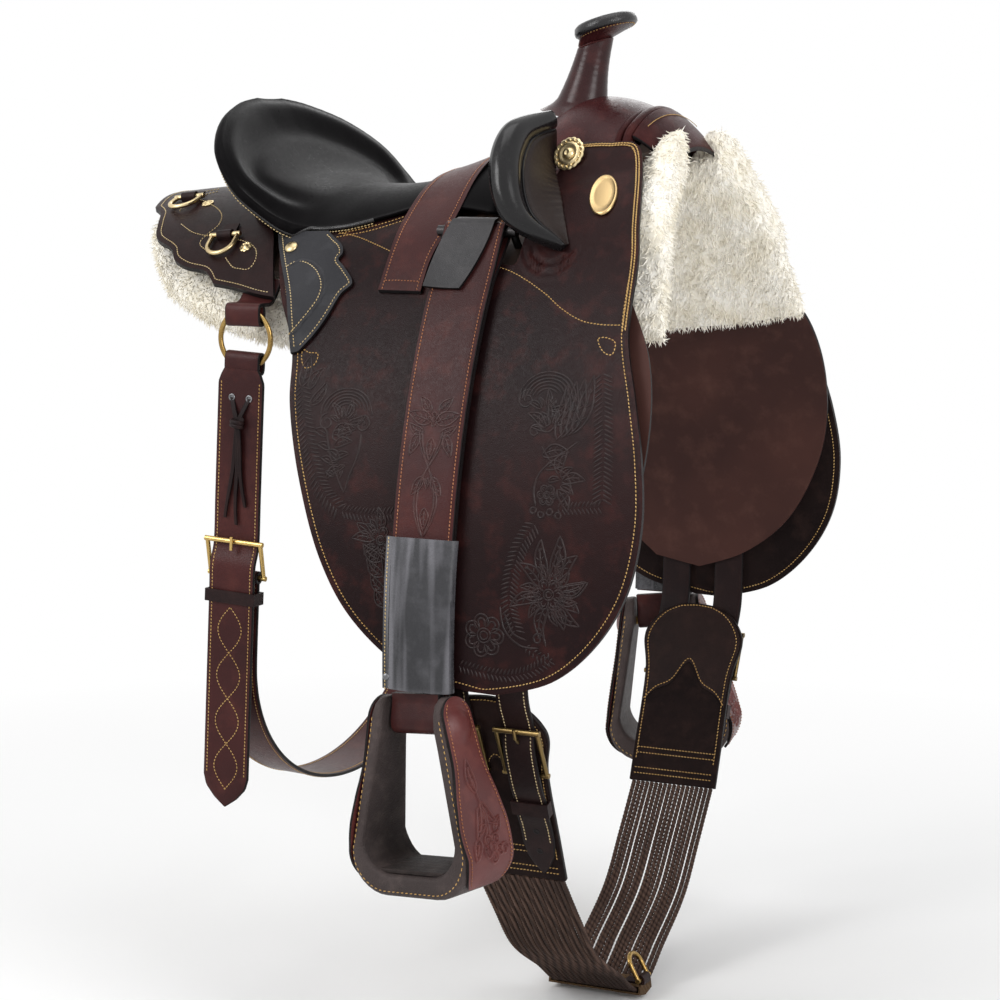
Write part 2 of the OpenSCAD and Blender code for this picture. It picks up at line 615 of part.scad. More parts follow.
module girth_keeper_pair() {
    half = billet_w / 2 + layer_gap;
    deep = billet_t + 2 * layer_gap;
    girth_frame() for (k = [-0.5, 0.5])
        translate([k * billet_pitch, -billet_keep, -keeper_s - keeper_len / 2]) linear_extrude(keeper_len)
            difference() {
                square([2 * (half + keeper_t), deep + 2 * keeper_t], center = true);
                square([2 * half, deep], center = true);
            }
}
module girth_keepers() {
    color(dark_brown) {
        girth_keeper_pair();
        left() girth_keeper_pair();
    }
}

// Strings: tubes that fall from both ends to a soft point under the belly, as shares of span and fall
string_end = girth_yz(girth_end_len + layer_gap, girth_end_t / 2);
string_low = crown_z + girth_low_z + string_d / 2;
string_fall = [[1, 0], [0.8, 0.3], [0.6, 0.58], [0.31, 0.8], [0, 1], [-0.31, 0.8], [-0.6, 0.58],
    [-0.8, 0.3], [-1, 0]];
string_pitch = (girth_w - 6 - string_d) / (string_count - 1);
function string_line(u) =
    let (f = spline(string_fall, u))
    [string_end[0] * f[0], string_end[1] + (string_low - string_end[1]) * f[1]];
string_steps = [0, 0.1, 0.2, 0.28, 0.35, 0.42, 0.47, 0.5, 0.53, 0.58, 0.65, 0.72, 0.8, 0.9, 1];
module girth_strings() {
    color(dark_brown) for (i = [0:string_count - 1]) {
        x = girth_x + (i - (string_count - 1) / 2) * string_pitch;
        tube([for (u = string_steps) let (q = string_line(u)) [x, q[0], q[1]]], string_d / 2, 6, [1, 0, 0]);
    }
}

// Band stitched round the strings at their lowest stretch
band_t = 2;
module girth_centre_band() {
    half = girth_half + 1;
    deep = string_d / 2 + layer_gap;
    low = string_line(0.5);
    function line(reach) = [for (u = [0.47, 0.5, 0.53]) low + reach * (string_line(u) - low)];
    color(dark_brown) difference() {
        strap(line(1), girth_x - half, girth_x + half, -deep - band_t, deep + band_t);
        strap(line(1.5), girth_x - half + band_t, girth_x + half - band_t, -deep, deep);
    }
}

// Dee: a straight bar along Y and a bow that reaches along X
module dee(w, h, wire) {
    r = wire / 2;
    rod([0, -w / 2 - r, 0], [0, w / 2 + r, 0], r);
    for (side = [-1, 1])
        rod([0, side * w / 2, 0], [h - w / 2, side * w / 2, 0], r - 0.2);
    translate([h - w / 2, 0, 0]) rotate([0, 0, -90]) rotate_extrude(angle = 180)
        translate([w / 2, 0]) circle(r = r - 0.2);
}
// Small leather loop that holds the bar of a dee
chape_w = 16;
chape_t = 1.8;
bar_clear = 0.5;
module chape(wire, drop) {
    r = wire / 2 + bar_clear;
    foot_len = 18;
    rotate([90, 0, 0]) linear_extrude(chape_w, center = true) difference() {
        union() {
            circle(r = r + chape_t);
            translate([-foot_len, -drop]) square([foot_len, chape_t]);
            translate([-r - chape_t, -drop]) square([2 * (r + chape_t), drop]);
        }
        circle(r = r);
        translate([-2 * foot_len, -drop - foot_len]) square([4 * foot_len, foot_len]);
    }
}
dee_wire = 5;
dee_w = 29;
dee_h = 27;
dee_height = dee_wire / 2 + layer_gap + bar_clear;
rear_dee = [-276, 14];
front_dee = [-190, 29.5];
module skirt_frame(q) {
    a = skin_along(q[0], q[1]);
    n = skin_out(q[0], q[1]);
    f = cross(a, n);
    p = skin(q[0], q[1], skirt_top + dee_height);
    multmatrix([[f[0], a[0], n[0], p[0]], [f[1], a[1], n[1], p[1]], [f[2], a[2], n[2], p[2]]]) children();
}
chape_lift = 0.3;
girth_dee_w = 24;
girth_dee_height = 6.4;
girth_chape_lift = 2.3;
dee_stand = 119;
girth_dee_at = [girth_x + girth_half - 2, 0,
    string_low + string_d / 2 + layer_gap + band_t + girth_dee_height];
module dee_chapes() {
    color(dark_brown) {
        for (q = [rear_dee, front_dee]) {
            skirt_frame(q) chape(dee_wire, dee_height - chape_lift);
            left() skirt_frame(q) chape(dee_wire, dee_height - chape_lift);
        }
        translate(girth_dee_at) chape(dee_wire, girth_dee_height - girth_chape_lift);
    }
}
module saddle_dee(q) {
    color(brass) skirt_frame(q) dee(dee_w, dee_h, dee_wire);
}
module girth_dee() {
    color(brass) translate(girth_dee_at) rotate([0, -dee_stand, 0]) dee(girth_dee_w, dee_h, dee_wire);
}

// Rear cinch: rings on hangers, a billet, and a strap that runs under to the other side
ring_y = barrel_w - ring_in;
ring_z = crown_z - 174;
ring_r = ring_d / 2 - ring_wire / 2;
loop_clear = 0.6;
loop_y = ring_wire + 2 * loop_clear;
hanger_w = 38;
// Height of the inside of the ring above its middle, clear of a strap of width w
function ring_inside(w) = sqrt(pow(ring_r - ring_wire / 2 - loop_clear, 2) - w * w / 4);
module ring_pair() {
    for (side = [-1, 1])
        translate([cinch_x, side * ring_y, ring_z]) rotate([90, 0, 0]) rotate_extrude() translate([ring_r, 0])
            circle(d = ring_wire, $fn = 32);
}
module cinch_rings() {
    color(brass) ring_pair();
}
// Rectangular loop of strap round the ring wire, seen along X.
// The number up is 1 for the top of the ring and -1 for its foot.
module ring_loop(up, w, t) {
    high = ring_r + ring_wire / 2 + loop_clear;
    low = ring_inside(w);
    difference() {
        translate([-loop_y / 2 - t, up > 0 ? ring_z + low - t : ring_z - high - t])
            square([loop_y + 2 * t, high - low + 2 * t]);
        translate([-loop_y / 2, up > 0 ? ring_z + low : ring_z - high]) square([loop_y, high - low]);
    }
}
module along_x(x, w) {
    translate([x - w / 2, 0, 0]) rotate([90, 0, 90]) linear_extrude(w) children();
}
module band(p, t) {
    polygon(concat([for (i = [0:len(p) - 1]) p[i] + path_out(p, i) * t / 2],
        [for (i = [len(p) - 1:-1:0]) p[i] - path_out(p, i) * t / 2]));
}
hanger_d = -flap_t - layer_gap - strap_t;
hanger_angle = 38.4;
module hanger() {
    top_z = ring_z + ring_r + ring_wire / 2 + loop_clear + strap_t / 2;
    along_x(cinch_x, hanger_w) union() {
        translate([-ring_y, 0]) ring_loop(1, hanger_w, strap_t);
        band([[-ring_y, top_z], [-ring_y + loop_y / 2 + 1, top_z], [-ring_y + 18, top_z + 0.5],
            for (t = [41, hanger_angle]) yz(skin(cinch_x, t, hanger_d))], strap_t);
    }
}
module cinch_hangers() {
    color(red_brown) {
        hanger();
        left() hanger();
    }
}

// Swings the hanging pieces back about the middle of the rings
module cinch_hang() {
    translate([cinch_x, 0, ring_z]) rotate([0, cinch_lean, 0]) translate([-cinch_x, 0, -ring_z]) children();
}
cinch_buckle_z = ring_z - 194;
cinch_tip_z = ring_z - 456;
cinch_frame_h = 34;
cinch_foot_z = cinch_buckle_z - cinch_frame_h;
billet_y = -ring_y - loop_y / 2 - strap_t / 2;
cinch_under_y = -ring_y - strap_t / 2;
cinch_bar_y = cinch_under_y;
tail_y = cinch_bar_y - buckle_wire / 2 - loop_clear - strap_t - loop_clear - strap_t / 2;
module cinch_billet() {
    path = [[billet_y, ring_z - ring_r - 1], [billet_y, cinch_buckle_z - 6], [tail_y, cinch_foot_z + 14],
        [tail_y, cinch_tip_z]];
    color(red_brown) cinch_hang() difference() {
        union() {
            along_x(cinch_x, hanger_w) translate([-ring_y, 0]) ring_loop(-1, hanger_w, strap_t);
            along_x(cinch_x, cinch_w) band(path, strap_t);
        }
        for (side = [-1, 1])
            translate([cinch_x + side * cinch_w / 2, -ring_y, cinch_tip_z]) rotate([0, 45, 0])
                cube([cinch_w * 0.72, cinch_w, cinch_w * 0.72], center = true);
        for (z = [cinch_buckle_z - 14, cinch_foot_z - 55, cinch_foot_z - 100, cinch_foot_z - 145])
            translate([cinch_x, -ring_y, z]) rotate([90, 0, 0]) cylinder(d = 9, h = 40, $fn = 24);
    }
}
cinch_bend_z = ring_z - 310;
module cinch_strap() {
    fall = cinch_bend_z - crown_z - cinch_low_z - strap_t / 2;
    half = -cinch_under_y;
    path = concat(
        [[cinch_under_y, cinch_foot_z - buckle_wire / 2 - loop_clear - 1], [cinch_under_y, cinch_bend_z]],
        [for (a = [10:10:170]) [-half * cos(a), cinch_bend_z - fall * sin(a)]],
        [[half, cinch_bend_z], [half, ring_z - ring_r - ring_wire / 2 - loop_clear - strap_t / 2 - 6],
            [ring_y, ring_z - ring_r - ring_wire / 2 - loop_clear - strap_t / 2]]);
    color(red_brown) cinch_hang() {
        along_x(cinch_x, cinch_w) difference() {
            union() {
                translate([cinch_bar_y, cinch_foot_z]) circle(r = buckle_wire / 2 + loop_clear + strap_t);
                band(path, strap_t);
            }
            translate([cinch_bar_y, cinch_foot_z]) circle(r = buckle_wire / 2 + loop_clear);
        }
        along_x(cinch_x, hanger_w) translate([ring_y, 0]) ring_loop(-1, hanger_w, strap_t);
    }
}
module cinch_buckle() {
    top_y = billet_y - strap_t / 2 - layer_gap - buckle_wire / 2;
    half = cinch_w / 2 + 4.5;
    r = buckle_wire / 2;
    tip_y = top_y - r - tongue_r - 0.5;
    color(brass) cinch_hang() translate([cinch_x, 0, 0]) {
        rod([-half - r, top_y, cinch_buckle_z], [half + r, top_y, cinch_buckle_z], r);
        rod([-half - r, cinch_bar_y, cinch_foot_z], [half + r, cinch_bar_y, cinch_foot_z], r);
        for (side = [-1, 1])
            rod([side * half, top_y, cinch_buckle_z], [side * half, cinch_bar_y, cinch_foot_z], r - 0.3);
        rod([0, tip_y, cinch_buckle_z + 5], [0, tip_y, cinch_buckle_z - 8], tongue_r);
    }
}
cinch_keeper_z = cinch_foot_z - 26;
module cinch_keeper() {
    y0 = tail_y - strap_t / 2 - layer_gap;
    y1 = cinch_under_y + strap_t / 2 + layer_gap;
    half = cinch_w / 2 + layer_gap;
    color(black) cinch_hang() translate([cinch_x, 0, cinch_keeper_z]) linear_extrude(12) difference() {
        translate([-half - keeper_t, y0 - keeper_t]) square([2 * (half + keeper_t), y1 - y0 + 2 * keeper_t]);
        translate([-half, y0]) square([2 * half, y1 - y0]);
    }
}
thong_z = ring_z - 50;
thong_t = 2.2;
module cinch_thong() {
    y = billet_y - strap_t / 2 - 0.5;
    color(black) cinch_hang() translate([cinch_x, y, thong_z]) {
        rotate([90, 0, 0]) linear_extrude(5) polygon([[-6, 6], [6, 6], [7, -7], [-7, -7]]);
        for (side = [-1, 1])
            translate([0, -1, 0]) rotate([90, 0, 0]) linear_extrude(thong_t)
                polygon([[side * 1, 0], [side * 6, 0], [side * 14, -112], [side * 6, -116]]);
    }
}

// Stirrup leathers: a strap hung double over the bar, a sleeve, and a loop round the stirrup bolt
leather_gap = 0.5;
leather_low = 1 + sleeve_t + layer_gap;
leather_mid = leather_low + strap_t + leather_gap / 2;
leather_in = leather_low + strap_t / 2;
leather_out = leather_low + 1.5 * strap_t + leather_gap;
section_x = leather_x + leather_w / 2;
bar_angle = angle_at(section_x, stirrup_bar_z);
bar_at = yz(skin(section_x, bar_angle, leather_mid));
bar_down = unit(yz(skin_down(section_x, bar_angle)));
bar_out = [bar_down[1], -bar_down[0]];
wrap_r = stirrup_bar_d / 2 + loop_clear + strap_t / 2;
function wrap(r, a) = bar_at - r * (bar_out * cos(a) + bar_down * sin(a));
function leather_side(z, d) = yz(skin_z(section_x, z, d));
leather_top_z = stirrup_bar_z - 42;
leather_z = [for (k = [0:13]) leather_top_z + (sleeve_bottom_z - 1.5 - leather_top_z) * k / 13];
bolt_drop = 32;
bolt_at = [leather_x, -(barrel_w + leather_mid), crown_z + sleeve_bottom_z - bolt_drop];
loop_w = leather_w - 6;
module stirrup_frame_at() {
    translate(bolt_at) rotate([0, 0, -stirrup_yaw]) rotate([0, -stirrup_lean, 0]) children();
}
module stirrup_leather() {
    color(red_brown) {
        strap(concat([for (k = [13:-1:0]) leather_side(leather_z[k], leather_in)],
            [for (a = [0:20:180]) wrap(wrap_r, a)],
            [for (k = [0:13]) leather_side(leather_z[k], leather_out)]),
            leather_x - leather_w / 2, leather_x + leather_w / 2, -strap_t / 2, strap_t / 2);
        r = bolt_d / 2 + loop_clear + strap_t / 2;
        pinch = (strap_t + leather_gap) / 2;
        top = bolt_drop - 0.6 - loop_w / 2 * sin(stirrup_lean);
        stirrup_frame_at() strap(concat([[-pinch, top], [-pinch - 0.4, top - 8], [-r, 4]],
            [for (a = [180:15:360]) [r * cos(a), r * sin(a)]],
            [[r, 4], [pinch + 0.4, top - 8], [pinch, top]]),
            -loop_w / 2, loop_w / 2, -strap_t / 2, strap_t / 2);
    }
}
module leather_sleeve() {
    half = strap_t + leather_gap / 2 + layer_gap;
    sleeve_h = sleeve_top_z - sleeve_bottom_z;
    path = [for (k = [0:8]) leather_side(sleeve_top_z - sleeve_h * k / 8, leather_mid)];
    core = concat([leather_side(sleeve_top_z + 20, leather_mid)], path,
        [leather_side(sleeve_bottom_z - 20, leather_mid)]);
    wide = leather_w / 2 + layer_gap;
    outer = wide + sleeve_t;
    color(charcoal) difference() {
        strap(path, leather_x - outer, leather_x + outer, -half - sleeve_t, half + sleeve_t);
        strap(core, leather_x - wide, leather_x + wide, -half, half);
    }
}
tab_t = 3;
tab_foot_z = stirrup_bar_z - 54;
module guard_tab() {
    r = wrap_r + strap_t / 2 + layer_gap + tab_t / 2;
    d = leather_out + strap_t / 2 + layer_gap + tab_t / 2;
    color(charcoal) strap(concat([for (a = [110:14:180]) wrap(r, a)],
        [for (z = [leather_top_z, tab_foot_z]) leather_side(z, d)]),
        leather_x - 38, leather_x + 24, -tab_t / 2, tab_t / 2);
}
bar_half = leather_w / 2 + 9;
bracket_r = 3.6;
module stirrup_bar() {
    function on_bar(x) = [x, bar_at[0], bar_at[1]];
    color("silver") {
        rod(on_bar(leather_x - bar_half), on_bar(leather_x + bar_half), stirrup_bar_d / 2);
        for (x = [leather_x - bar_half + 4, leather_x + bar_half - 4])
            rod(on_bar(x), skin(x, bar_angle, tree_top + 1), bracket_r);
    }
}

// Stirrups: a padded bow hung on its bolt, with tooled side panels and a tread
ear_in = loop_w / 2 + 2;
ear_out = ear_in + 8.5;
ear_round = 15;
ear_top = ear_round + 11;
bow_foot = stirrup_h - 20;
corner_r = 26;
corner_z = corner_r - stirrup_h;
side_lean = atan((stirrup_w / 2 - ear_out) / (ear_top - corner_z));
module stirrup_bow() {
    half = stirrup_w / 2;
    inner_r = corner_r - 8;
    // Corner of an outline at the right foot: an arc from the side to the underside
    function corner(x, z, r) = [for (a = [0:-15:-90]) [x - r + r * cos(a), z + r + r * sin(a)]];
    function both(p) = concat(p, [for (k = [len(p) - 1:-1:0]) [-p[k][0], p[k][1]]]);
    module face_on(p) {
        rotate([90, 0, 0]) linear_extrude(2 * stirrup_depth, center = true) polygon(both(p));
    }
    color(black) stirrup_frame_at() difference() {
        intersection() {
            face_on(concat([[ear_out, ear_top]], corner(half, -stirrup_h, corner_r)));
            along_x(0, 2 * stirrup_w) polygon(concat(
                [for (a = [0:20:180]) [ear_round * cos(a), ear_top - ear_round + ear_round * sin(a)]],
                [[-17, -20], [-stirrup_depth / 2, -stirrup_h + 22], [-stirrup_depth / 2, -stirrup_h - 1],
                    [stirrup_depth / 2, -stirrup_h - 1], [stirrup_depth / 2, -stirrup_h + 22], [17, -20]]));
        }
        face_on(concat([[ear_in, ear_top + 1], [ear_in, 0]],
            corner(half - stirrup_wall, -bow_foot, inner_r)));
        rotate([0, 90, 0]) cylinder(d = bolt_d + 0.5, h = stirrup_w, center = true);
    }
}
tread_t = 5;
module stirrup_tread() {
    half = stirrup_w / 2 - stirrup_wall - corner_r + 10;
    deep = stirrup_depth / 2 - 5;
    color(black) stirrup_frame_at() translate([-half, -deep, -bow_foot + 0.4])
        cube([2 * half, 2 * deep, tread_t]);
}
side_t = 3;
module stirrup_panels() {
    len_down = (ear_top - corner_z) / cos(side_lean);
    half_w = [13, 14.5, 15.5, 17, 21, 26, 30, 33, 32, 25];
    n = len(half_w) - 1;
    round_s = ear_round - 2;
    outline = [for (k = [0:n]) [half_w[k], -round_s - (len_down - round_s) * k / n]];
    color(red_brown) stirrup_frame_at() for (side = [0, 1]) mirror([side, 0, 0])
        translate([ear_out, 0, ear_top]) rotate([0, -side_lean, 0]) translate([0.4, 0, 0]) difference() {
            rotate([90, 0, 90]) linear_extrude(side_t) polygon(concat(
                [for (a = [180:-20:0]) [half_w[0] * cos(a), half_w[0] * sin(a) - round_s]],
                outline, [for (k = [n:-1:1]) [-outline[k][0], outline[k][1]]]));
            translate([-side_t, 0, -ear_top / cos(side_lean)]) rotate([0, 90, 0])
                cylinder(d = bolt_d + 9, h = 4 * side_t);
        }
}
bolt_head_t = 3;
module stirrup_bolt() {
    reach = ear_out + ear_top * tan(side_lean) + 1.6;
    color(brass) stirrup_frame_at() rotate([0, 90, 0]) {
        cylinder(d = bolt_d, h = 2 * reach + 1, center = true);
        for (side = [-1, 1])
            translate([0, 0, side * (reach + bolt_head_t / 2)])
                cylinder(d = bolt_d + 5, h = bolt_head_t, center = true);
    }
}

tree();
gullet_plate();
horn_neck();
horn_cap();
pommel_cover();
gullet_roll();
gullet_facing();
seat();
cantle_back();
poley();  // poley_right
left() poley();  // poley_left
flap();  // flap_right
left() flap();  // flap_left
sweat_flap();  // sweat_flap_right
left() sweat_flap();  // sweat_flap_left
panel();  // panel_right
left() panel();  // panel_left
rear_skirt();
corner_patch();  // corner_patch_right
left() corner_patch();  // corner_patch_left
brass_fittings();
rigging_strap();
billets();  // billets_right
left() billets();  // billets_left
girth_end();  // girth_end_right
left() girth_end();  // girth_end_left
girth_buckles();  // girth_buckles_right
left() girth_buckles();  // girth_buckles_left
girth_keepers();
girth_strings();
girth_centre_band();
cinch_hangers();
cinch_rings();
stirrup_bar();  // stirrup_bar_right
left() stirrup_bar();  // stirrup_bar_left
dee_chapes();
girth_dee();
saddle_dee(rear_dee);  // saddle_dee_right_rear
saddle_dee(front_dee);  // saddle_dee_right_front
left() saddle_dee(rear_dee);  // saddle_dee_left_rear
left() saddle_dee(front_dee);  // saddle_dee_left_front
cinch_billet();
cinch_strap();
cinch_buckle();
cinch_keeper();
cinch_thong();
stirrup_leather();  // stirrup_leather_right
left() stirrup_leather();  // stirrup_leather_left
leather_sleeve();  // leather_sleeve_right
left() leather_sleeve();  // leather_sleeve_left
guard_tab();  // guard_tab_right
left() guard_tab();  // guard_tab_left
stirrup_bow();  // stirrup_frame_right
left() stirrup_bow();  // stirrup_frame_left
stirrup_tread();  // stirrup_tread_right
left() stirrup_tread();  // stirrup_tread_left
stirrup_panels();  // stirrup_panels_right
left() stirrup_panels();  // stirrup_panels_left
stirrup_bolt();  // stirrup_bolt_right
left() stirrup_bolt();  // stirrup_bolt_left
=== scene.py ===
import math
import bmesh
import bpy
import numpy as np
from mathutils import Matrix, Vector, noise


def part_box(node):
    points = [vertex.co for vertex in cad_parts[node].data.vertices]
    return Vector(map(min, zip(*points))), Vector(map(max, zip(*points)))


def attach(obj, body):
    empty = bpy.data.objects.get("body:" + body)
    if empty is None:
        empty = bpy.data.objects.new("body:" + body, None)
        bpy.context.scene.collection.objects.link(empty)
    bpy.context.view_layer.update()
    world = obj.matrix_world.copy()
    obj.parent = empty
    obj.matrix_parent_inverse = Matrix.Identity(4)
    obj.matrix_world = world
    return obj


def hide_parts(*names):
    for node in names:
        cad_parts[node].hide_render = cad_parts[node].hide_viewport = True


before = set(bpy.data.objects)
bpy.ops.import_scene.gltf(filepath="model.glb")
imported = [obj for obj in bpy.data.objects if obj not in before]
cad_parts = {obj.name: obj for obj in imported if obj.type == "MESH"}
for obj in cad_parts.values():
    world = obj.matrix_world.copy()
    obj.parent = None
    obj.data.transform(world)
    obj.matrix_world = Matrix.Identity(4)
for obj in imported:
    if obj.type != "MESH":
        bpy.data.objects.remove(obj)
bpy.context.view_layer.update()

mm = 0.001  # pieces are worked out in millimetres and stored in metres


# back shape shared by every layer
backShape = dict(halfWidth=280, height=464, drop=380, tilt=0.125, waistDip=36, waistX=-30, waistLen=130,
                 dipAngle=38)


def crownLine(x):
    return backShape["height"] + backShape["tilt"] * x


def waistDip(x, t):
    along = np.exp(-((x - backShape["waistX"]) / backShape["waistLen"]) ** 2)
    return backShape["waistDip"] * along * np.maximum(0, 1 - (t / backShape["dipAngle"]) ** 2) ** 2


def skin(x, t, d=0.0):
    # right side point at station x, angle t from the crown, height d above the flap face
    x, t, d = np.broadcast_arrays(np.asarray(x, float), np.asarray(t, float), np.asarray(d, float))
    a = np.radians(t)
    z = -backShape["drop"] + (crownLine(x) + d) * np.cos(a) - waistDip(x, t)
    return np.stack([x, -(backShape["halfWidth"] + d) * np.sin(a), z], -1)


def angleAt(x, z):
    t = np.full(np.broadcast(x, z).shape, 45.0)
    for _ in range(5):
        t = np.degrees(np.arccos(np.clip((z + backShape["drop"] + waistDip(x, t)) / crownLine(x), -1, 1)))
    return t


def skinZ(x, z, d=0.0):
    return skin(x, angleAt(x, z), d)


def skinY(x, y, d=0.0):
    return skin(x, np.degrees(np.arcsin(-y / (backShape["halfWidth"] + d))), d)


def unit(v):
    v = np.asarray(v, float)
    return v / np.maximum(np.linalg.norm(v, axis=-1, keepdims=True), 1e-9)


def ease(u):
    c = np.clip(u, 0, 1)
    return c * c * (3 - 2 * c)


def skinOut(x, t):
    along = skin(x + 1, t) - skin(x - 1, t)
    down = skin(x, t + 0.2) - skin(x, t - 0.2)
    return unit(np.cross(down, along))


def spline(points, u):
    # smooth curve through points, u from 0 to 1
    p = np.asarray(points, float)
    p = p[:, None] if p.ndim == 1 else p
    u = np.asarray(u, float)
    n = len(p) - 1
    k = np.clip(np.floor(u * n).astype(int), 0, n - 1)
    f = (u * n - k)[..., None]
    a, b, c, e = p[np.maximum(k - 1, 0)], p[k], p[k + 1], p[np.minimum(k + 2, n)]
    out = b + f * (c - a) / 2 + f * f * (2 * a - 5 * b + 4 * c - e) / 2
    out = out + f ** 3 * (3 * b - a - 3 * c + e) / 2
    return out[..., 0] if np.asarray(points).ndim == 1 else out


def patch(top, foot, rear, front, u, v):
    # area filled in between four edges that share their corners
    uu, vv = u[..., None], v[..., None]
    rear, front = np.asarray(rear, float), np.asarray(front, float)
    q = (1 - vv) * spline(top, u) + vv * spline(foot, u) + (1 - uu) * spline(rear, v) + uu * spline(front, v)
    q = q - (1 - uu) * (1 - vv) * rear[0] - uu * (1 - vv) * front[0]
    return q - (1 - uu) * vv * rear[-1] - uu * vv * front[-1]


def gridUv(rows, columns):
    return np.meshgrid(np.linspace(0, 1, rows), np.linspace(0, 1, columns), indexing="ij")


def around(count):
    return np.linspace(0, 2 * np.pi, count, endpoint=False)


def runOf(p):
    return np.concatenate([[0], np.cumsum(np.linalg.norm(np.diff(p, axis=0), axis=1))])


def interpRows(s, run, rows):
    return np.stack([np.interp(s, run, rows[:, k]) for k in range(rows.shape[1])], -1)


def resample(points, pitch):
    p = np.asarray(points, float)
    run = runOf(p)
    return interpRows(np.linspace(0, run[-1], max(2, int(round(run[-1] / pitch)) + 1)), run, p)


def smoothLine(points, pitch, closed=False):
    p = [list(q) for q in points]
    ends = (0, 1)
    if closed:
        p = p[-2:] + p + p[:3]
        ends = (2 / (len(p) - 1), 1 - 2 / (len(p) - 1))
    return resample(spline(p, np.linspace(*ends, 24 * len(p))), pitch)


flipY = np.array([1, -1, 1.0])  # from the right side to the left


# mesh helpers
def linked(name, data):
    obj = bpy.data.objects.new(name, data)
    bpy.context.scene.collection.objects.link(obj)
    return obj


def newObject(name, verts, faces, mats, matIndex=None, sharp=38):
    mesh = bpy.data.meshes.new(name)
    mesh.from_pydata((np.asarray(verts, float) * mm).tolist(), [], [list(f) for f in faces])
    for m in mats:
        mesh.materials.append(m)
    if matIndex is not None:
        mesh.polygons.foreach_set("material_index", np.asarray(matIndex, np.int32))
    b = bmesh.new()
    b.from_mesh(mesh)
    bmesh.ops.recalc_face_normals(b, faces=b.faces)
    b.to_mesh(mesh)
    b.free()
    mesh.polygons.foreach_set("use_smooth", np.ones(len(mesh.polygons), bool))
    mesh.set_sharp_from_angle(angle=math.radians(sharp))
    mesh.update()
    return linked(name, mesh)


def bevel(obj, width, segments=2, angle=40):
    m = obj.modifiers.new("edge", "BEVEL")
    m.width = width * mm
    m.segments = segments
    m.limit_method = "ANGLE"
    m.angle_limit = math.radians(angle)
    return obj


def dress(obj, body, slot, *nodes):
    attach(obj, body)
    if nodes:
        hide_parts(*nodes)
    return obj


def mirrorOf(obj):
    name = obj.name.replace("Right", "Left")
    mesh = obj.data.copy()
    mesh.name = name
    mesh.transform(Matrix.Scale(-1, 4, (0, 1, 0)))
    mesh.flip_normals()
    twin = linked(name, mesh)
    for m in obj.modifiers:
        if m.type == "BEVEL":
            bevel(twin, m.width / mm, m.segments, math.degrees(m.angle_limit))
    return twin


def bothSides(obj, slot, bodies=("saddle", "saddle"), nodes=()):
    # a right piece and its mirror image on the left
    for o, body, side in zip((obj, mirrorOf(obj)), bodies, ("_right", "_left")):
        dress(o, body, slot, *[n + side for n in nodes])


def sheetFaces(n, m):
    # faces of the top, the foot and the sides of a sheet of n by m points
    grid = np.arange(n * m).reshape(n, m)
    top = np.stack([grid[:-1, :-1], grid[1:, :-1], grid[1:, 1:], grid[:-1, 1:]], -1).reshape(-1, 4)
    rim = np.concatenate([grid[0, :-1], grid[:-1, -1], grid[-1, :0:-1], grid[:0:-1, 0]])
    ahead = np.roll(rim, -1)
    return top, top[:, ::-1] + n * m, np.stack([rim, ahead, ahead + n * m, rim + n * m], -1)


def sheetObject(name, top, foot, face, edge=None, back=None, edgeRound=1.0):
    tops, feet, sides = sheetFaces(*top.shape[:2])
    verts = np.concatenate([top.reshape(-1, 3), foot.reshape(-1, 3)])
    mats = [face, edge or face, back or face]
    index = np.repeat([0, 2, 1], [len(tops), len(feet), len(sides)])
    obj = newObject(name, verts, np.concatenate([tops, feet, sides]), mats, index)
    return bevel(obj, edgeRound) if edgeRound else obj


def ringFaces(n, m, first=0):
    # walls between n rings of m points, then both end caps
    grid = first + np.arange(n * m).reshape(n, m)
    turn = np.roll(grid, -1, 1)
    walls = np.stack([grid[:-1], turn[:-1], turn[1:], grid[1:]], -1).reshape(-1, 4).tolist()
    return walls + [grid[0].tolist(), grid[-1, ::-1].tolist()]


def loftObject(name, rings, mats, matIndex=None, caps=True, sharp=38):
    r = np.asarray(rings, float)
    n, m = r.shape[:2]
    kinds = matIndex or [0] * m
    faces, index = ringFaces(n, m), kinds * (n - 1) + [kinds[0]] * 2
    if not caps:
        faces, index = faces[:-2], index[:-2]
    return newObject(name, r.reshape(-1, 3), faces, mats, index, sharp)


def loftMany(name, stacks, mat, sharp):
    # many closed lofts in one piece
    verts, faces = [], []
    for rings in stacks:
        faces += ringFaces(*rings.shape[:2], len(verts))
        verts += [*rings.reshape(-1, 3)]
    return newObject(name, verts, faces, [mat], sharp=sharp)


def welded(obj):
    b = bmesh.new()
    b.from_mesh(obj.data)
    bmesh.ops.remove_doubles(b, verts=b.verts, dist=0.00001)
    b.to_mesh(obj.data)
    b.free()
    return obj


def roundedSection(half, low, high, r, turns, across, up):
    # points round a rectangle with eased corners, its level and upright runs cut into steps
    corners = np.array([[half - r, high - r], [r - half, high - r], [r - half, low + r], [half - r, low + r]])
    arcs = []
    for k, c in enumerate(corners):
        g = np.radians(90 * k + np.array(turns))
        arcs.append(c + r * np.column_stack([np.cos(g), np.sin(g)]))
    pts = []
    for k, arc in enumerate(arcs):
        steps = up if k % 2 else across
        run = arcs[(k + 1) % 4][0] - arc[-1]
        pts += [*arc, *[arc[-1] + run * f / steps for f in range(1, steps)]]
    return np.array(pts)


def strapSection(width, low, high, r=1.0, across=6):
    return roundedSection(width / 2, low, high, min(r, (high - low) / 2 - 0.05), (0, 45, 90), across, 1)


def padSection(thick, deep, r):
    # section of the padded bow: (out, depth) points
    return roundedSection(thick / 2, -deep, deep, min(r, thick / 2 - 0.1, deep - 0.1), (0, 22, 45, 68, 90), 1, 6)


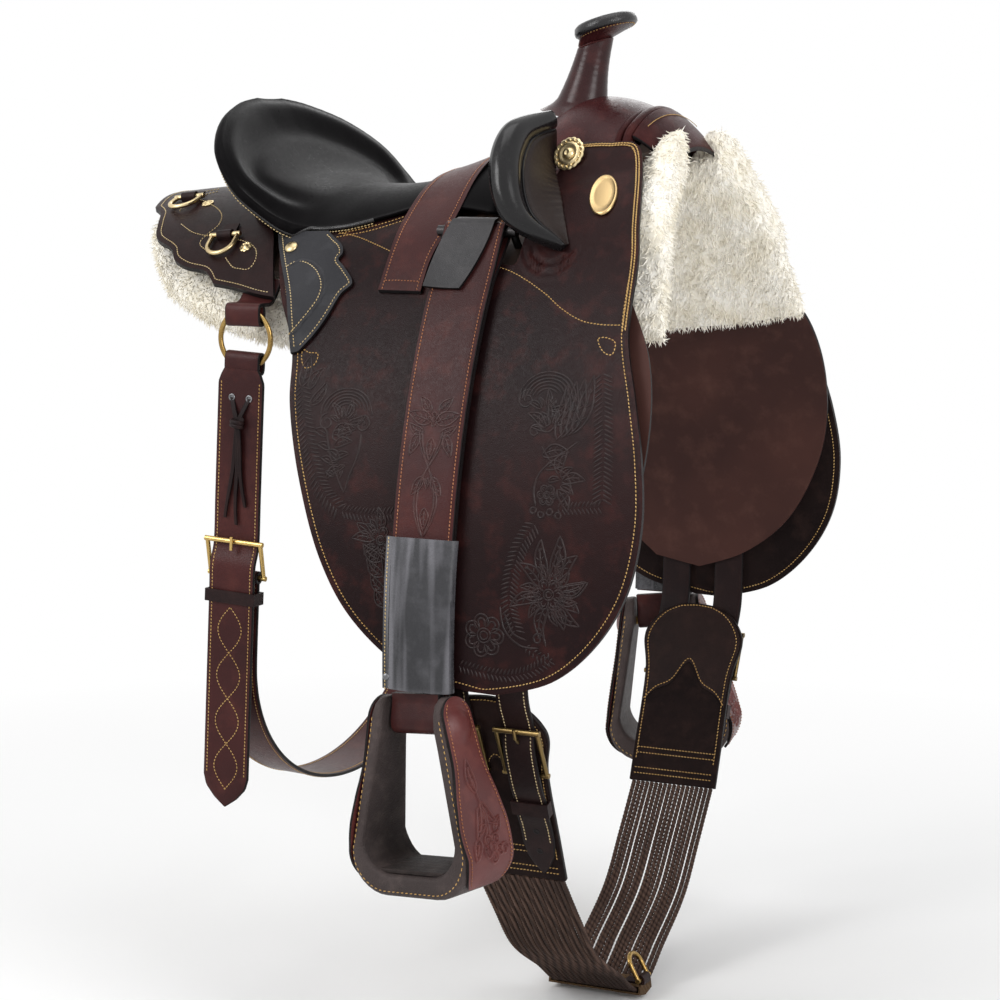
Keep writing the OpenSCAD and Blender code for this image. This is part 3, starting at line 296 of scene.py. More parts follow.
def pathOut(p):
    # outward normals of a YZ path
    t = unit(np.gradient(np.asarray(p, float), axis=0))
    return np.stack([t[:, 1], -t[:, 0]], -1)


def strapObject(name, path, mid, half, thick, pitch, hide=None, halves=None, lift=0.0, r=1.1):
    # flat strap along a YZ path with eased black edges; halves gives half widths at shares of its length
    p = resample(path, pitch)
    wide = np.interp(np.linspace(0, 1, len(p)), *(halves or ([0], [half])))
    low, high = lift - thick / 2, lift + thick / 2
    rings = []
    for at, out, w in zip(p, pathOut(p), wide):
        box = strapSection(max(2 * w, 0.6), low, high, r)
        rings.append(np.column_stack([mid + box[:, 0], at + out * box[:, 1:2]]))
    a = np.abs(strapSection(max(2 * wide[0], 3.0), low, high, r)[:, 0])
    edge = np.minimum(a, np.roll(a, -1)) >= a.max() - r - 0.05
    return loftObject(name, rings, [hide or strapLeather, blackEdge], edge.astype(int).tolist())


def tubeRings(path, r, sides, ref):
    p = np.asarray(path, float)
    t = unit(np.gradient(p, axis=0))
    a = unit(np.cross(t, ref))
    b = np.cross(t, a)
    g = around(sides)[:, None]
    wall = a[:, None] * np.cos(g) + b[:, None] * np.sin(g)
    return p[:, None] + np.broadcast_to(r, len(p))[:, None, None] * wall


def plateObject(name, outline, low, high, place, mats, edgeRound=1.0):
    # flat plate cut to an outline; place maps (a, b, height) arrays to points
    o = np.asarray(outline, float)
    n = len(o)
    up, down = (place(o[:, 0], o[:, 1], h) for h in (high, low))
    faces = [list(range(n)), list(range(2 * n - 1, n - 1, -1))]
    faces += [[k, (k + 1) % n, n + (k + 1) % n, n + k] for k in range(n)]
    return bevel(newObject(name, np.concatenate([up, down]), faces, mats, [0, 0] + [1] * n), edgeRound)


# placing: matrices are 4 by 4 arrays in millimetres
def placed(m, pts):
    return pts @ m[:3, :3].T + m[:3, 3]


def moved(obj, m):
    co = np.array([v.co for v in obj.data.vertices]) / mm
    obj.data.vertices.foreach_set("co", (placed(m, co) * mm).astype(np.float32).ravel())
    obj.data.update()
    return obj


def standOn(at, out):
    # stands a fitting on leather: local X forward, local Z out of the face
    n = np.asarray(out, float)
    a = unit(np.array([1.0, 0, 0]) - n * n[0])
    m = np.eye(4)
    m[:3].T[:] = a, np.cross(n, a), n, at
    return m


def circle(r, z, g, ahead=0.0, up=None):
    tall = r if up is None else up
    return np.stack(np.broadcast_arrays(ahead + r * np.cos(g), tall * np.sin(g), float(z)), -1)


def turned(profile, m, sides=48, ripple=None):
    # rings of a turned fitting from its (radius, height) profile
    g = around(sides)
    return np.array([placed(m, circle(r + (0 if ripple is None else ripple(r, g)), z, g)) for r, z in profile])


# sewing: each row is a pair of points and normals on a surface
thread = dict(pitch=3.4, length=2.6, radius=0.45, lift=0.2, slant=0.12, dip=0.35, flat=1.15, body=0.28)


def stitchObject(name, rows, mat, **kind):
    k = dict(thread, **kind)
    sides = 5
    one = [[1 + i, 1 + (i + 1) % sides, 6 + (i + 1) % sides, 6 + i] for i in range(sides)]
    one += [[0, 1 + (i + 1) % sides, 1 + i] for i in range(sides)]
    one += [[11, 6 + i, 6 + (i + 1) % sides] for i in range(sides)]
    stitches = []
    for pts, nor in rows:
        run = runOf(pts)
        if run[-1] < k["pitch"] * 0.6:
            continue
        s = np.arange(k["pitch"] / 2, run[-1], k["pitch"])
        n = unit(interpRows(s, run, nor))
        t = unit(interpRows(s + 0.5, run, pts) - interpRows(s - 0.5, run, pts))
        t = unit(t + k["slant"] * unit(np.cross(n, t)))  # threads lie a little aslant
        w = np.cross(n, t)
        base = interpRows(s, run, pts) + n * k["lift"]
        ring = [base + t * k["length"] * f + k["radius"] * (w * math.cos(a) * k["flat"] + n * math.sin(a))
                for f in (-k["body"], k["body"]) for a in around(sides)]
        tips = [base + t * f * k["length"] / 2 - n * k["dip"] for f in (-1, 1)]
        stitches.append(np.stack([tips[0], *ring, tips[1]], 1))
    verts = np.concatenate(stitches)
    faces = [[12 * j + i for i in f] for j in range(len(verts)) for f in one]
    return newObject(name, verts.reshape(-1, 3), faces, [mat], sharp=60)


def sewBoth(stem, rows, mat, slot, bodies=("saddle", "saddle"), **kind):
    bothSides(stitchObject(stem + "Right", rows, mat, **kind), slot, bodies)


def facing(points, normal):
    return points, np.tile(normal, (len(points), 1))


def ridgeObject(name, rows, mat, width, height, sink=0.25):
    # raised lines pressed up on a leather face
    across = np.array([-0.5, -0.28, 0, 0.28, 0.5])[:, None]
    rise = np.array([0, 0.72, 1, 0.72, 0])[:, None]
    foot = sink * (rise == 0)
    stacks = []
    for pts, nor in rows:
        rank = np.arange(len(pts))
        side = unit(np.cross(nor, unit(np.gradient(pts, axis=0))))
        taper = np.minimum(1, np.minimum(rank, rank[::-1]) / 2.0 + 0.35)[:, None, None]
        stacks.append(pts[:, None] + side[:, None] * width * taper * across
                      + nor[:, None] * (height * taper * rise - foot))
    return loftMany(name, stacks, mat, 50)


def onFlap(line, d=0.0, pitch=2.0):
    # (x, z) line laid on the flap face as points and normals
    q = smoothLine(line, pitch) if len(line) > 2 else resample(line, pitch)
    return flapFace(q[:, 0], q[:, 1], d), flapNormal(q[:, 0], q[:, 1])


def onSkin(line, d=0.0, pitch=2.0):
    # (x, angle) line laid on the back shape
    q = smoothLine(line, 0.5)
    p = resample(np.column_stack([skin(q[:, 0], q[:, 1], d), q]), pitch)
    return p[:, :3], skinOut(p[:, 3], p[:, 4])


def inset(points, normals, amount):
    side = unit(np.cross(normals, unit(np.gradient(points, axis=0))))
    return points + side * amount


# node helpers for the finishes
def srgb(r, g, b):
    def one(v):
        v /= 255
        return v / 12.92 if v <= 0.04045 else ((v + 0.055) / 1.055) ** 2.4
    return (one(r), one(g), one(b), 1.0)


def newGroup(name, inputs, outputs):
    # a number makes a value socket with that default, a word names the kind of socket
    g = bpy.data.node_groups.new(name, "ShaderNodeTree")
    for way, sockets in (("INPUT", inputs), ("OUTPUT", outputs)):
        for label, kind in sockets.items():
            word = kind if isinstance(kind, str) else "Float"
            s = g.interface.new_socket(label, in_out=way, socket_type="NodeSocket" + word)
            if word != kind:
                s.default_value = kind
    return g, g.nodes.new("NodeGroupInput").outputs, g.nodes.new("NodeGroupOutput").inputs


def feed(tree, socket, value):
    # a socket takes a plain value or a link
    if isinstance(value, (int, float, tuple)):
        socket.default_value = value
    else:
        tree.links.new(value, socket)


def addNode(tree, kind, *values, **named):
    # named settings and inputs, then inputs by their order
    n = tree.nodes.new("ShaderNode" + kind)
    for key, value in named.items():
        if hasattr(n, key):
            setattr(n, key, value)
        else:
            feed(tree, n.inputs[key.replace("_", " ")], value)
    for k, value in enumerate(values):
        feed(tree, n.inputs[k], value)
    return n


def mathNode(tree, op, a, b):
    return addNode(tree, "Math", a, b, operation=op).outputs[0]


def mapRange(tree, value, lo, hi, toLo=0.0, toHi=1.0):
    return addNode(tree, "MapRange", value, lo, hi, toLo, toHi).outputs["Result"]


def mixColour(tree, factor, a, b):
    n = addNode(tree, "Mix", factor, data_type="RGBA")
    feed(tree, n.inputs[6], a)
    feed(tree, n.inputs[7], b)
    return n.outputs[2]


def noiseNode(tree, vector, scale, detail, rough=0.5):
    return addNode(tree, "TexNoise", Vector=vector, Scale=scale, Detail=detail, Roughness=rough).outputs


def makeGrainGroup():
    # leather grain: pebbles between fine creases, with pores
    g, gi, go = newGroup("leatherGrain", dict(Vector="Vector", Size=1.4, Crease=0.6),
                         dict(Height="Float", Fine="Float"))
    scale = mathNode(g, "DIVIDE", 1000.0, gi["Size"])
    warp = noiseNode(g, gi["Vector"], 90.0, 3.0)["Color"]
    push = addNode(g, "VectorMath", warp, (0.004, 0.004, 0.004), gi["Vector"], operation="MULTIPLY_ADD")
    cells = addNode(g, "TexVoronoi", feature="DISTANCE_TO_EDGE", Vector=push.outputs[0], Scale=scale)
    pebble = mapRange(g, cells.outputs["Distance"], 0.0, 0.35)
    fine = noiseNode(g, gi["Vector"], mathNode(g, "MULTIPLY", scale, 0.45), 4.0, 0.6)[0]
    creased = mathNode(g, "MULTIPLY", pebble, gi["Crease"])
    feed(g, go["Height"], mathNode(g, "ADD", creased, mathNode(g, "MULTIPLY", fine, 0.5)))
    feed(g, go["Fine"], fine)
    return g


def makeToneGroup():
    # slow drift of dye depth, with waxed pull-up patches
    g, gi, go = newGroup("dyeDrift", dict(Vector="Vector", Base="Color", Deep="Color", Worn="Color", Amount=0.5),
                         dict(Colour="Color", Patch="Float"))
    slow = noiseNode(g, gi["Vector"], 7.0, 3.0)[0]
    mid = noiseNode(g, gi["Vector"], 45.0, 5.0, 0.6)[0]
    base = mixColour(g, mapRange(g, slow, 0.38, 0.66), gi["Deep"], gi["Base"])
    pulled = mathNode(g, "MULTIPLY", mapRange(g, mid, 0.5, 0.75), gi["Amount"])
    feed(g, go["Colour"], mixColour(g, pulled, base, gi["Worn"]))
    feed(g, go["Patch"], mid)
    return g


def makeWearGroup():
    # rubbed convex edges
    g, gi, go = newGroup("edgeWear", dict(Vector="Vector", Reach=0.06), dict(Mask="Float"))
    geo = addNode(g, "NewGeometry")
    rub = noiseNode(g, gi["Vector"], 120.0, 4.0)[0]
    edge = mathNode(g, "DIVIDE", mathNode(g, "SUBTRACT", geo.outputs["Pointiness"], 0.51), gi["Reach"])
    clean = mathNode(g, "MINIMUM", mathNode(g, "MAXIMUM", edge, 0.0), 1.0)
    feed(g, go["Mask"], mathNode(g, "MULTIPLY", clean, mapRange(g, rub, 0.35, 0.65)))
    return g


grainGroup, toneGroup, wearGroup = makeGrainGroup(), makeToneGroup(), makeWearGroup()


def newMaterial(name):
    m = bpy.data.materials.new(name)
    m.use_nodes = True
    t = m.node_tree
    return m, t, t.nodes["Principled BSDF"], addNode(t, "TexCoord").outputs["Object"]


def placeGroup(tree, group, **values):
    return addNode(tree, "Group", node_tree=group, **values).outputs


def surface(tree, bsdf, colour, rough, height, strength, distance, **fixed):
    # colour, roughness and bump from nodes; fixed values straight on the shader
    feed(tree, bsdf.inputs["Base Color"], colour)
    feed(tree, bsdf.inputs["Roughness"], rough)
    bump = addNode(tree, "Bump", Strength=strength, Distance=distance, Height=height)
    feed(tree, bsdf.inputs["Normal"], bump.outputs["Normal"])
    for key, value in fixed.items():
        bsdf.inputs[key.replace("_", " ")].default_value = value


def leather(name, base, deep, worn, rough, size=1.4, crease=0.6, depth=0.12, amount=0.4, wear=0.35, spec=0.12,
            paintedHighlightStreaks=0.0):
    m, t, bsdf, vec = newMaterial(name)
    base, deep, worn = srgb(*base), srgb(*deep), srgb(*worn)
    grain = placeGroup(t, grainGroup, Vector=vec, Size=size, Crease=crease)
    tone = placeGroup(t, toneGroup, Vector=vec, Base=base, Deep=deep, Worn=worn, Amount=amount)
    rub = placeGroup(t, wearGroup, Vector=vec)
    colour = mixColour(t, mathNode(t, "MULTIPLY", rub["Mask"], wear), tone["Colour"], worn)
    if paintedHighlightStreaks:  # painted highlight streaks down the sleeve: pale bands in the colour that stand in for lamp reflections
        tall = addNode(t, "Mapping", Vector=vec, Scale=(1.0, 1.0, 0.05))
        shine = noiseNode(t, tall.outputs["Vector"], 75.0, 2.0)[0]
        colour = mixColour(t, mapRange(t, shine, 0.45, 0.66, 0.0, paintedHighlightStreaks), colour, worn)
    shift = mapRange(t, grain["Fine"], 0.3, 0.7, rough - 0.07, rough + 0.07)
    surface(t, bsdf, colour, shift, grain["Height"], 0.6, depth * mm * 2, Specular_IOR_Level=spec)
    return m


flapLeather = leather("flapLeather", (35, 17, 17), (24, 12, 13), (66, 32, 29), 0.36, size=1.6, amount=0.55,
                      spec=0.09)
skirtLeather = leather("skirtLeather", (36, 19, 19), (26, 14, 14), (56, 34, 32), 0.36, size=1.6, spec=0.1)
tooledLeather = leather("tooledLeather", (30, 15, 15), (22, 11, 12), (50, 29, 27), 0.34, size=1.6, spec=0.24)
strapLeather = leather("strapLeather", (66, 31, 30), (49, 23, 23), (90, 47, 41), 0.36, size=1.5, spec=0.14)
strapTooled = leather("strapTooled", (52, 23, 22), (40, 17, 17), (84, 43, 38), 0.32, size=1.5, spec=0.35)
pommelLeather = leather("pommelLeather", (62, 27, 28), (42, 18, 19), (90, 46, 43), 0.3, size=1.8, amount=0.6,
                        spec=0.12)
gulletLeather = leather("gulletLeather", (58, 26, 26), (42, 19, 20), (82, 42, 39), 0.38, size=1.6, amount=0.5,
                        spec=0.04)
hornLeather = leather("hornLeather", (50, 20, 21), (32, 14, 15), (80, 38, 36), 0.28, size=2.0, crease=0.2,
                      depth=0.04, amount=0.4, spec=0.26)
hornCapLeather = leather("hornCapLeather", (25, 23, 25), (18, 17, 18), (44, 41, 42), 0.27, size=1.8, spec=0.4)
seatLeather = leather("seatLeather", (19, 18, 19), (14, 13, 14), (31, 29, 30), 0.33, size=1.5, crease=0.4,
                      depth=0.08, amount=0.25, spec=0.012)
rollLeather = leather("rollLeather", (22, 21, 22), (16, 15, 16), (36, 34, 35), 0.22, size=1.5, crease=0.05,
                      depth=0.012, amount=0.25, wear=0.05, spec=0.3)
faceLeather = leather("faceLeather", (30, 20, 17), (20, 14, 13), (46, 34, 29), 0.44, size=1.8, crease=0.8,
                      depth=0.16, spec=0.2)
patchLeather = leather("patchLeather", (52, 52, 55), (41, 41, 44), (72, 72, 75), 0.5, size=1.4)
# the sleeve's pale worn colour is the colour of rubbed edges and also the colour of the painted highlight streaks
charcoalLeather = leather("charcoalLeather", (52, 52, 55), (40, 40, 43), (112, 111, 116), 0.27, size=1.9,
                          crease=0.3, depth=0.05, amount=0.25, wear=0.2, spec=0.4, paintedHighlightStreaks=0.75)
tabLeather = leather("tabLeather", (46, 44, 46), (34, 33, 35), (66, 64, 65), 0.46, size=1.7, spec=0.3)
sweatLeather = leather("sweatLeather", (70, 44, 39), (57, 36, 33), (88, 59, 51), 0.58, size=1.2, crease=0.3,
                       depth=0.08, amount=0.5, wear=0.2)
billetLeather = leather("billetLeather", (33, 21, 21), (24, 15, 16), (54, 35, 33), 0.46, size=1.5)
suedeLeather = leather("suedeLeather", (28, 19, 18), (20, 13, 13), (44, 30, 27), 0.85, size=0.8, crease=0.2,
                       depth=0.2, amount=0.8, wear=0.5, spec=0.1)
girthPanelLeather = leather("girthPanelLeather", (38, 24, 22), (28, 18, 17), (54, 36, 32), 0.6, size=1.2)
stirrupLeather = leather("stirrupLeather", (76, 66, 65), (56, 49, 48), (98, 86, 83), 0.5, size=2.6, crease=0.9,
                         depth=0.25, amount=0.5)
panelLeather = leather("panelLeather", (100, 50, 48), (76, 37, 36), (122, 68, 61), 0.36, size=1.5, spec=0.3)
treadLeather = leather("treadLeather", (54, 46, 45), (40, 35, 34), (80, 68, 64), 0.6, size=2.8, crease=0.9,
                       depth=0.25)
blackEdge = leather("blackEdge", (22, 18, 19), (16, 14, 15), (38, 29, 28), 0.42, size=0.9, amount=0.2, wear=0.25)


def cordMaterial(name, base, deep, rough=0.75, pitch=2.4):
    # braided cord: slanted strands crossing along the length; the deep colour, which also drifts in at random
    # through the tone, is laid in the low bands of the wave as painted shade in the grooves between strands
    m, t, bsdf, vec = newMaterial(name)
    base, deep = srgb(*base), srgb(*deep)
    tone = placeGroup(t, toneGroup, Vector=vec, Base=base, Deep=deep, Worn=base, Amount=0.2)
    wave = addNode(t, "TexWave", wave_type="BANDS", bands_direction="DIAGONAL", Vector=vec,
                   Scale=1000 / pitch / 6.28, Distortion=2.0, Detail=2.0).outputs["Fac"]
    shift = mapRange(t, tone["Patch"], 0.3, 0.7, rough - 0.08, rough + 0.08)
    # the wave darkens the grooves with the deep colour as painted shade, and also lowers them in the bump
    surface(t, bsdf, mixColour(t, wave, deep, tone["Colour"]), shift, wave, 0.8, 0.0006, Specular_IOR_Level=0.2)
    return m


creamThread = cordMaterial("creamThread", (226, 208, 168), (190, 166, 120), 0.6, 0.8)
goldThread = cordMaterial("goldThread", (218, 184, 124), (176, 138, 82), 0.6, 0.8)
orangeThread = cordMaterial("orangeThread", (198, 138, 100), (150, 98, 68), 0.6, 0.8)
stringCord = cordMaterial("stringCord", (96, 74, 64), (50, 37, 32), 0.85, 2.2)
bandThread = cordMaterial("bandThread", (110, 84, 54), (70, 52, 34), 0.8, 1.6)


def metal(name, base, deep, rough, wearAmount=0.4):
    m, t, bsdf, vec = newMaterial(name)
    bright = srgb(*[min(255, v * 1.18) for v in base])
    base, deep = srgb(*base), srgb(*deep)
    tone = placeGroup(t, toneGroup, Vector=vec, Base=base, Deep=deep, Worn=base, Amount=0.5)
    rub = placeGroup(t, wearGroup, Vector=vec, Reach=0.08)
    colour = mixColour(t, mathNode(t, "MULTIPLY", rub["Mask"], wearAmount), tone["Colour"], bright)
    scratch = noiseNode(t, vec, 700.0, 3.0)[0]
    shift = mapRange(t, scratch, 0.35, 0.7, rough - 0.08, rough + 0.1)
    surface(t, bsdf, colour, shift, scratch, 0.25, 0.0001, Metallic=1.0)
    return m


brassMetal = metal("brassMetal", (196, 166, 104), (140, 112, 64), 0.3)
agedBrass = metal("agedBrass", (128, 108, 70), (78, 64, 40), 0.38, 0.8)
brightBrass = metal("brightBrass", (224, 204, 160), (172, 150, 110), 0.36)
plateBrass = metal("plateBrass", (200, 172, 124), (146, 118, 80), 0.36)
steelMetal = metal("steelMetal", (150, 150, 152), (110, 110, 112), 0.36)
darkSteel = metal("darkSteel", (62, 60, 60), (40, 39, 40), 0.45)


def fleeceMaterial():
    m, t, bsdf, vec = newMaterial("fleeceWool")
    curl = noiseNode(t, vec, 420.0, 4.0, 0.6)[0]
    lump = noiseNode(t, vec, 34.0, 4.0)[0]
    base = mixColour(t, mapRange(t, lump, 0.35, 0.65), srgb(243, 237, 222), srgb(254, 251, 244))
    # the darker cream where the curl noise is low, in the hollows of the bump, is painted shade between the curls
    shade = mixColour(t, mapRange(t, curl, 0.25, 0.5), srgb(236, 228, 208), base)
    surface(t, bsdf, shade, mapRange(t, curl, 0.2, 0.8, 0.85, 1.0), curl, 0.6, 0.0012,
            Specular_IOR_Level=0.1, Sheen_Weight=0.25, Sheen_Roughness=0.6)
    return m


def woodMaterial():
    m, t, bsdf, vec = newMaterial("treeWood")
    rings = addNode(t, "TexWave", Vector=vec, Scale=22.0, Distortion=6.0, Detail=3.0).outputs["Fac"]
    feed(t, bsdf.inputs["Base Color"], mixColour(t, rings, srgb(46, 32, 26), srgb(66, 47, 37)))
    feed(t, bsdf.inputs["Roughness"], mapRange(t, rings, 0.0, 1.0, 0.5, 0.65))
    return m


fleeceWool, treeWood = fleeceMaterial(), woodMaterial()
print("saddle: finishes ready")


# flaps: one sheet from the seat edge to the foot, notched round the stirrup leather
flapPiece = dict(rows=170, columns=120, thick=4.5, edgeRound=1.3, sewIn=6.0,
    top=[[-129, 14], [-100, 15], [-70, 16], [-40, 22], [-10, 31], [22, 42], [38, 44], [44, 25], [50, 5], [56, -14],
         [78, -14], [100, -14], [122, -14], [144, -14], [146, 10], [148, 36], [151, 62], [166, 79], [194, 83],
         [221, 85]],
    foot=[[142, -391], [172, -392]],
    rear=[[-129, 14], [-100, -45], [-70, -95], [-60, -146], [-39, -213], [-10, -284], [26, -336], [80, -376],
          [142, -391]],
    front=[[221, 85], [233, 81], [241, 69], [249, 51], [258, 22], [267, -12], [272, -72], [288, -126], [301, -180],
           [306, -235], [296, -292], [268, -340], [226, -376], [172, -392]])


def flapLift(x, z, t):
    # the flap climbs over the edge of the pommel and puckers under the knee pad
    over = pommelD(np.clip(x, 120, 200), np.clip(t, 12, 17)) + flapPiece["thick"] + 1
    r = np.hypot(x - 178, z - 10)
    pucker = 1.1 * np.sin(0.75 * r) * np.exp(-((r - 27) / 9) ** 2) * ease((4 - z) / 12)
    return over * ease((25 - t) / 7.5) * ease((x - 140) / 22) + pucker


def flapFace(x, z, d=0.0):
    t = angleAt(x, z)
    return skin(x, t, d + flapLift(x, z, t))


def flapNormal(x, z):
    return unit(np.cross(flapFace(x, z - 1) - flapFace(x, z + 1), flapFace(x + 1, z) - flapFace(x - 1, z)))


def laidSheet(name, piece, high, low, face, edge, back, lay=skinZ):
    u, v = gridUv(piece["rows"], piece["columns"])
    q = patch(piece["top"], piece["foot"], piece["rear"], piece["front"], u, v)
    return sheetObject(name, lay(q[..., 0], q[..., 1], high), lay(q[..., 0], q[..., 1], low), face, edge, back,
                       piece["edgeRound"])


flapEdge = flapPiece["rear"] + flapPiece["foot"][1:] + flapPiece["front"][::-1][1:]


def makeFlaps():
    p = flapPiece
    obj = laidSheet("flapRight", p, 0, -p["thick"], flapLeather, blackEdge, suedeLeather, flapFace)
    bothSides(obj, "flap_leather", nodes=["flap"])
    line, out = onFlap(flapEdge)
    rows = [(inset(line, out, p["sewIn"])[4:-3], out[4:-3])]
    rows += [onFlap(line, 0, 1.5) for line in flapSewing["open"]]
    for loop in flapSewing["loops"]:
        x, z = smoothLine(loop, 1.5, True).T
        rows.append((skinZ(x, z), skinOut(x, angleAt(x, z))))
    sewBoth("flapStitch", rows, goldThread, "flap_leather")
    front, out = onFlap(p["top"][-3:] + p["front"][1:7], 0, 1.5)
    rope = [(inset(front, out, -a)[3:-2], out[3:-2]) for a in flapSewing["ropeIn"]]
    sewBoth("flapRope", rope, goldThread, "flap_leather", pitch=3.0, length=3.3, radius=0.6)
    tooled = [onFlap(line, 0, 1.7) for line in drawn(flapTooling)]
    bothSides(ridgeObject("flapToolingRight", tooled, tooledLeather, 2.2, 0.85), "flap_leather")


# sewing drawn on the flap face, in (x, z)
flapSewing = dict(ropeIn=(3.2, 6.0),
    open=[[(108, -17), (130, -18), (153, -25), (182, -39), (201, -51), (223, -61), (243, -64), (262, -64)],
          [(-62, 8), (-30, 15), (-6, 22), (12, 29)], [(-62, 5), (-30, 11), (-6, 18), (12, 25)],
          [(-62, 9), (-38, 6), (-14, 0), (10, -7)]],
    loops=[[(-57, -97), (-50, -99), (-40, -100), (-41, -109), (-50, -113), (-56, -106)],
           [(244, -77), (251, -75), (261, -79), (260, -89), (251, -87)]])


# tooled ornament, drawn as flat lines and then laid on a face
def plain(*lines):
    return [*lines]


def leaf(a, b, fat=0.22, bend=0.0):
    # pointed leaf with a rib
    a, b = np.array(a, float), np.array(b, float)
    along = b - a
    side = np.array([-along[1], along[0]])
    u = np.linspace(0, 1, 10)[:, None]
    mid = a + along * u + side * bend * np.sin(np.pi * u)
    swell = side * fat * np.sin(np.pi * u ** 0.75)
    veins = [np.stack([mid[k], mid[k + 1] + s * swell[k + 1]]) for k in (2, 4, 6) for s in (-0.75, 0.75)]
    return [mid + swell, mid - swell, mid[1:-2]] + (veins if np.linalg.norm(along) > 17 else [])


def crest(at, r, a0, a1, rings=6, squash=0.85):
    # nested arcs of a plume
    out = []
    for k in range(rings):
        a = np.radians(np.linspace(a0 + 7 * k, a1 - 5 * k, 12))
        rr = r * (1 - 0.12 * k)
        out.append(np.column_stack([at[0] + rr * np.cos(a), at[1] + rr * squash * np.sin(a)]))
    return out


def scroll(at, r, a0, turns, shrink=0.8):
    u = np.linspace(0, 1, int(12 * abs(turns)) + 5)
    a, rr = math.radians(a0) + 2 * np.pi * turns * u, r * (1 - shrink * u)
    return [np.column_stack([at[0] + rr * np.cos(a), at[1] + rr * np.sin(a)])]


def bloom(at, r, petals):
    lines = scroll(at, 0.2 * r, 0, 1, 0.0) + scroll(at, 0.34 * r, 0, 1, 0.0)
    for a in around(petals):
        mid = np.array(at) + 0.66 * r * np.array([math.cos(a), math.sin(a)])
        for size, turns in ((0.36, 0.83), (0.17, 0.8)):
            lines += scroll(mid, size * r, math.degrees(a) - 150, turns, 0.0)
    return lines


def spray(at, r, a0, a1, count, fat=0.2):
    # leaves that fan out from one point, long and short in turn
    out = []
    for k, a in enumerate(np.radians(np.linspace(a0, a1, count))):
        way = np.array([math.cos(a), math.sin(a)])
        tip = np.array(at) + way * r * (1 if k % 2 == 0 else 0.72)
        out += leaf(np.array(at) + way * r * 0.24, tip, fat, 0.12 if a0 + a1 < 180 else -0.12)
    return out


def lace(line, wide, pitch=4.0):
    # border of slanted strokes on both sides of a line
    q = smoothLine(line, pitch)
    t = unit(np.gradient(q, axis=0))
    n = np.stack([-t[:, 1], t[:, 0]], -1)
    steps = np.array([0, 0.5, 1])[:, None]
    return [q[k] + s * n[k] * (0.6 + (wide / 2 - 0.6) * steps) + t[k] * wide * 0.26 * steps
            for k in range(len(q)) for s in (-1, 1)]


def drawn(table):
    return [line for make, *sizes in table for line in make(*sizes)]


flapTooling = [
    # rear of the flap
    (lace, [(-50, -130), (-41, -160), (-27, -195), (-13, -221), (4, -236)], 19),
    (lace, [(10, -238), (34, -240), (60, -238)], 13), (crest, (2, -152), 27, 0, 185),
    (scroll, (-17, -160), 8, 90, 1.4), (scroll, (21, -160), 8, 90, -1.4), (scroll, (-4, -172), 7, 20, 1.2),
    (leaf, (-50, -130), (-47, -101), 0.2), (leaf, (-42, -132), (-30, -112), 0.2, 0.1),
    (leaf, (-38, -146), (-24, -124), 0.18, -0.1), (leaf, (40, -256), (26, -248), 0.25),
    (leaf, (46, -250), (40, -244), 0.3), (spray, (1, -162), 25, 25, 155, 6, 0.16),
    (spray, (6, -196), 22, 150, 260, 4), (bloom, (3, -168), 7, 5), (spray, (52, -262), 30, 100, 300, 6),
    (bloom, (52, -262), 12, 5), (plain, [(54, -274), (57, -292), (61, -312), (64, -330)],
     [(-16, -168), (-9, -188), (0, -206), (10, -222)], [(21, -168), (20, -188), (14, -206), (10, -222)]),
    # front of the flap
    (lace, [(254, -106), (261, -145), (265, -180), (267, -212)], 19), (crest, (204, -130), 28, -5, 190),
    (lace, [(226, -223), (246, -221), (264, -219)], 11), (scroll, (184, -131), 9, 60, 1.5),
    (scroll, (206, -150), 10, 60, -1.5), (scroll, (196, -158), 7, 0, 1.2),
    (plain, [(240, -164), (222, -178), (206, -192), (201, -208), (204, -222)],
     [(204, -170), (218, -186), (232, -194), (236, -208), (226, -220)]),
    (spray, (212, -158), 30, 60, 170, 6, 0.17), (spray, (220, -200), 30, -60, 70, 5), (bloom, (214, -212), 9, 6),
    (spray, (204, -140), 20, 20, 160, 5, 0.16), (spray, (222, -298), 40, 20, 350, 12, 0.18),
    (lace, [(204, -238), (192, -258), (185, -285), (184, -310), (191, -332)], 17),
    (plain, [(175, -312), (180, -332), (196, -345), (214, -346)], [(180, -318), (188, -334), (202, -340)],
     [(221, -313), (218, -330), (221, -344)]), (bloom, (222, -298), 14, 6), (scroll, (213, -338), 6, 0, 1.3),
    (lace, [(136, -368), (160, -372), (184, -373), (206, -367), (224, -356)], 12),
    (lace, [(202, -346), (212, -352), (224, -357)], 9), (bloom, (160, -339), 19, 7)]
for k in range(4):
    flapTooling += [(leaf, (-9 + 3 * k, -170 - 11 * k), (15 - 2 * k, -165 - 11 * k), 0.2, 0.12),
                    (leaf, (-14 + 4 * k, -172 - 12 * k), (-30 + 6 * k, -168 - 12 * k), 0.22, -0.1),
                    (leaf, (55 + 2 * k, -280 - 14 * k), (34 + 5 * k, -266 - 13 * k), 0.2, 0.12),
                    (leaf, (218 + 5 * k, -164 + 2 * k), (222 + 8 * k, -116 + 3 * k), 0.13, -0.05),
                    (leaf, (206 + 4 * k, -178 - 11 * k), (232 - 3 * k, -174 - 12 * k), 0.2, 0.12),
                    (scroll, (202 + 8 * k, -226 - 3 * (k % 2)), 3.2, 90 * k, 1.1, 0.3)]
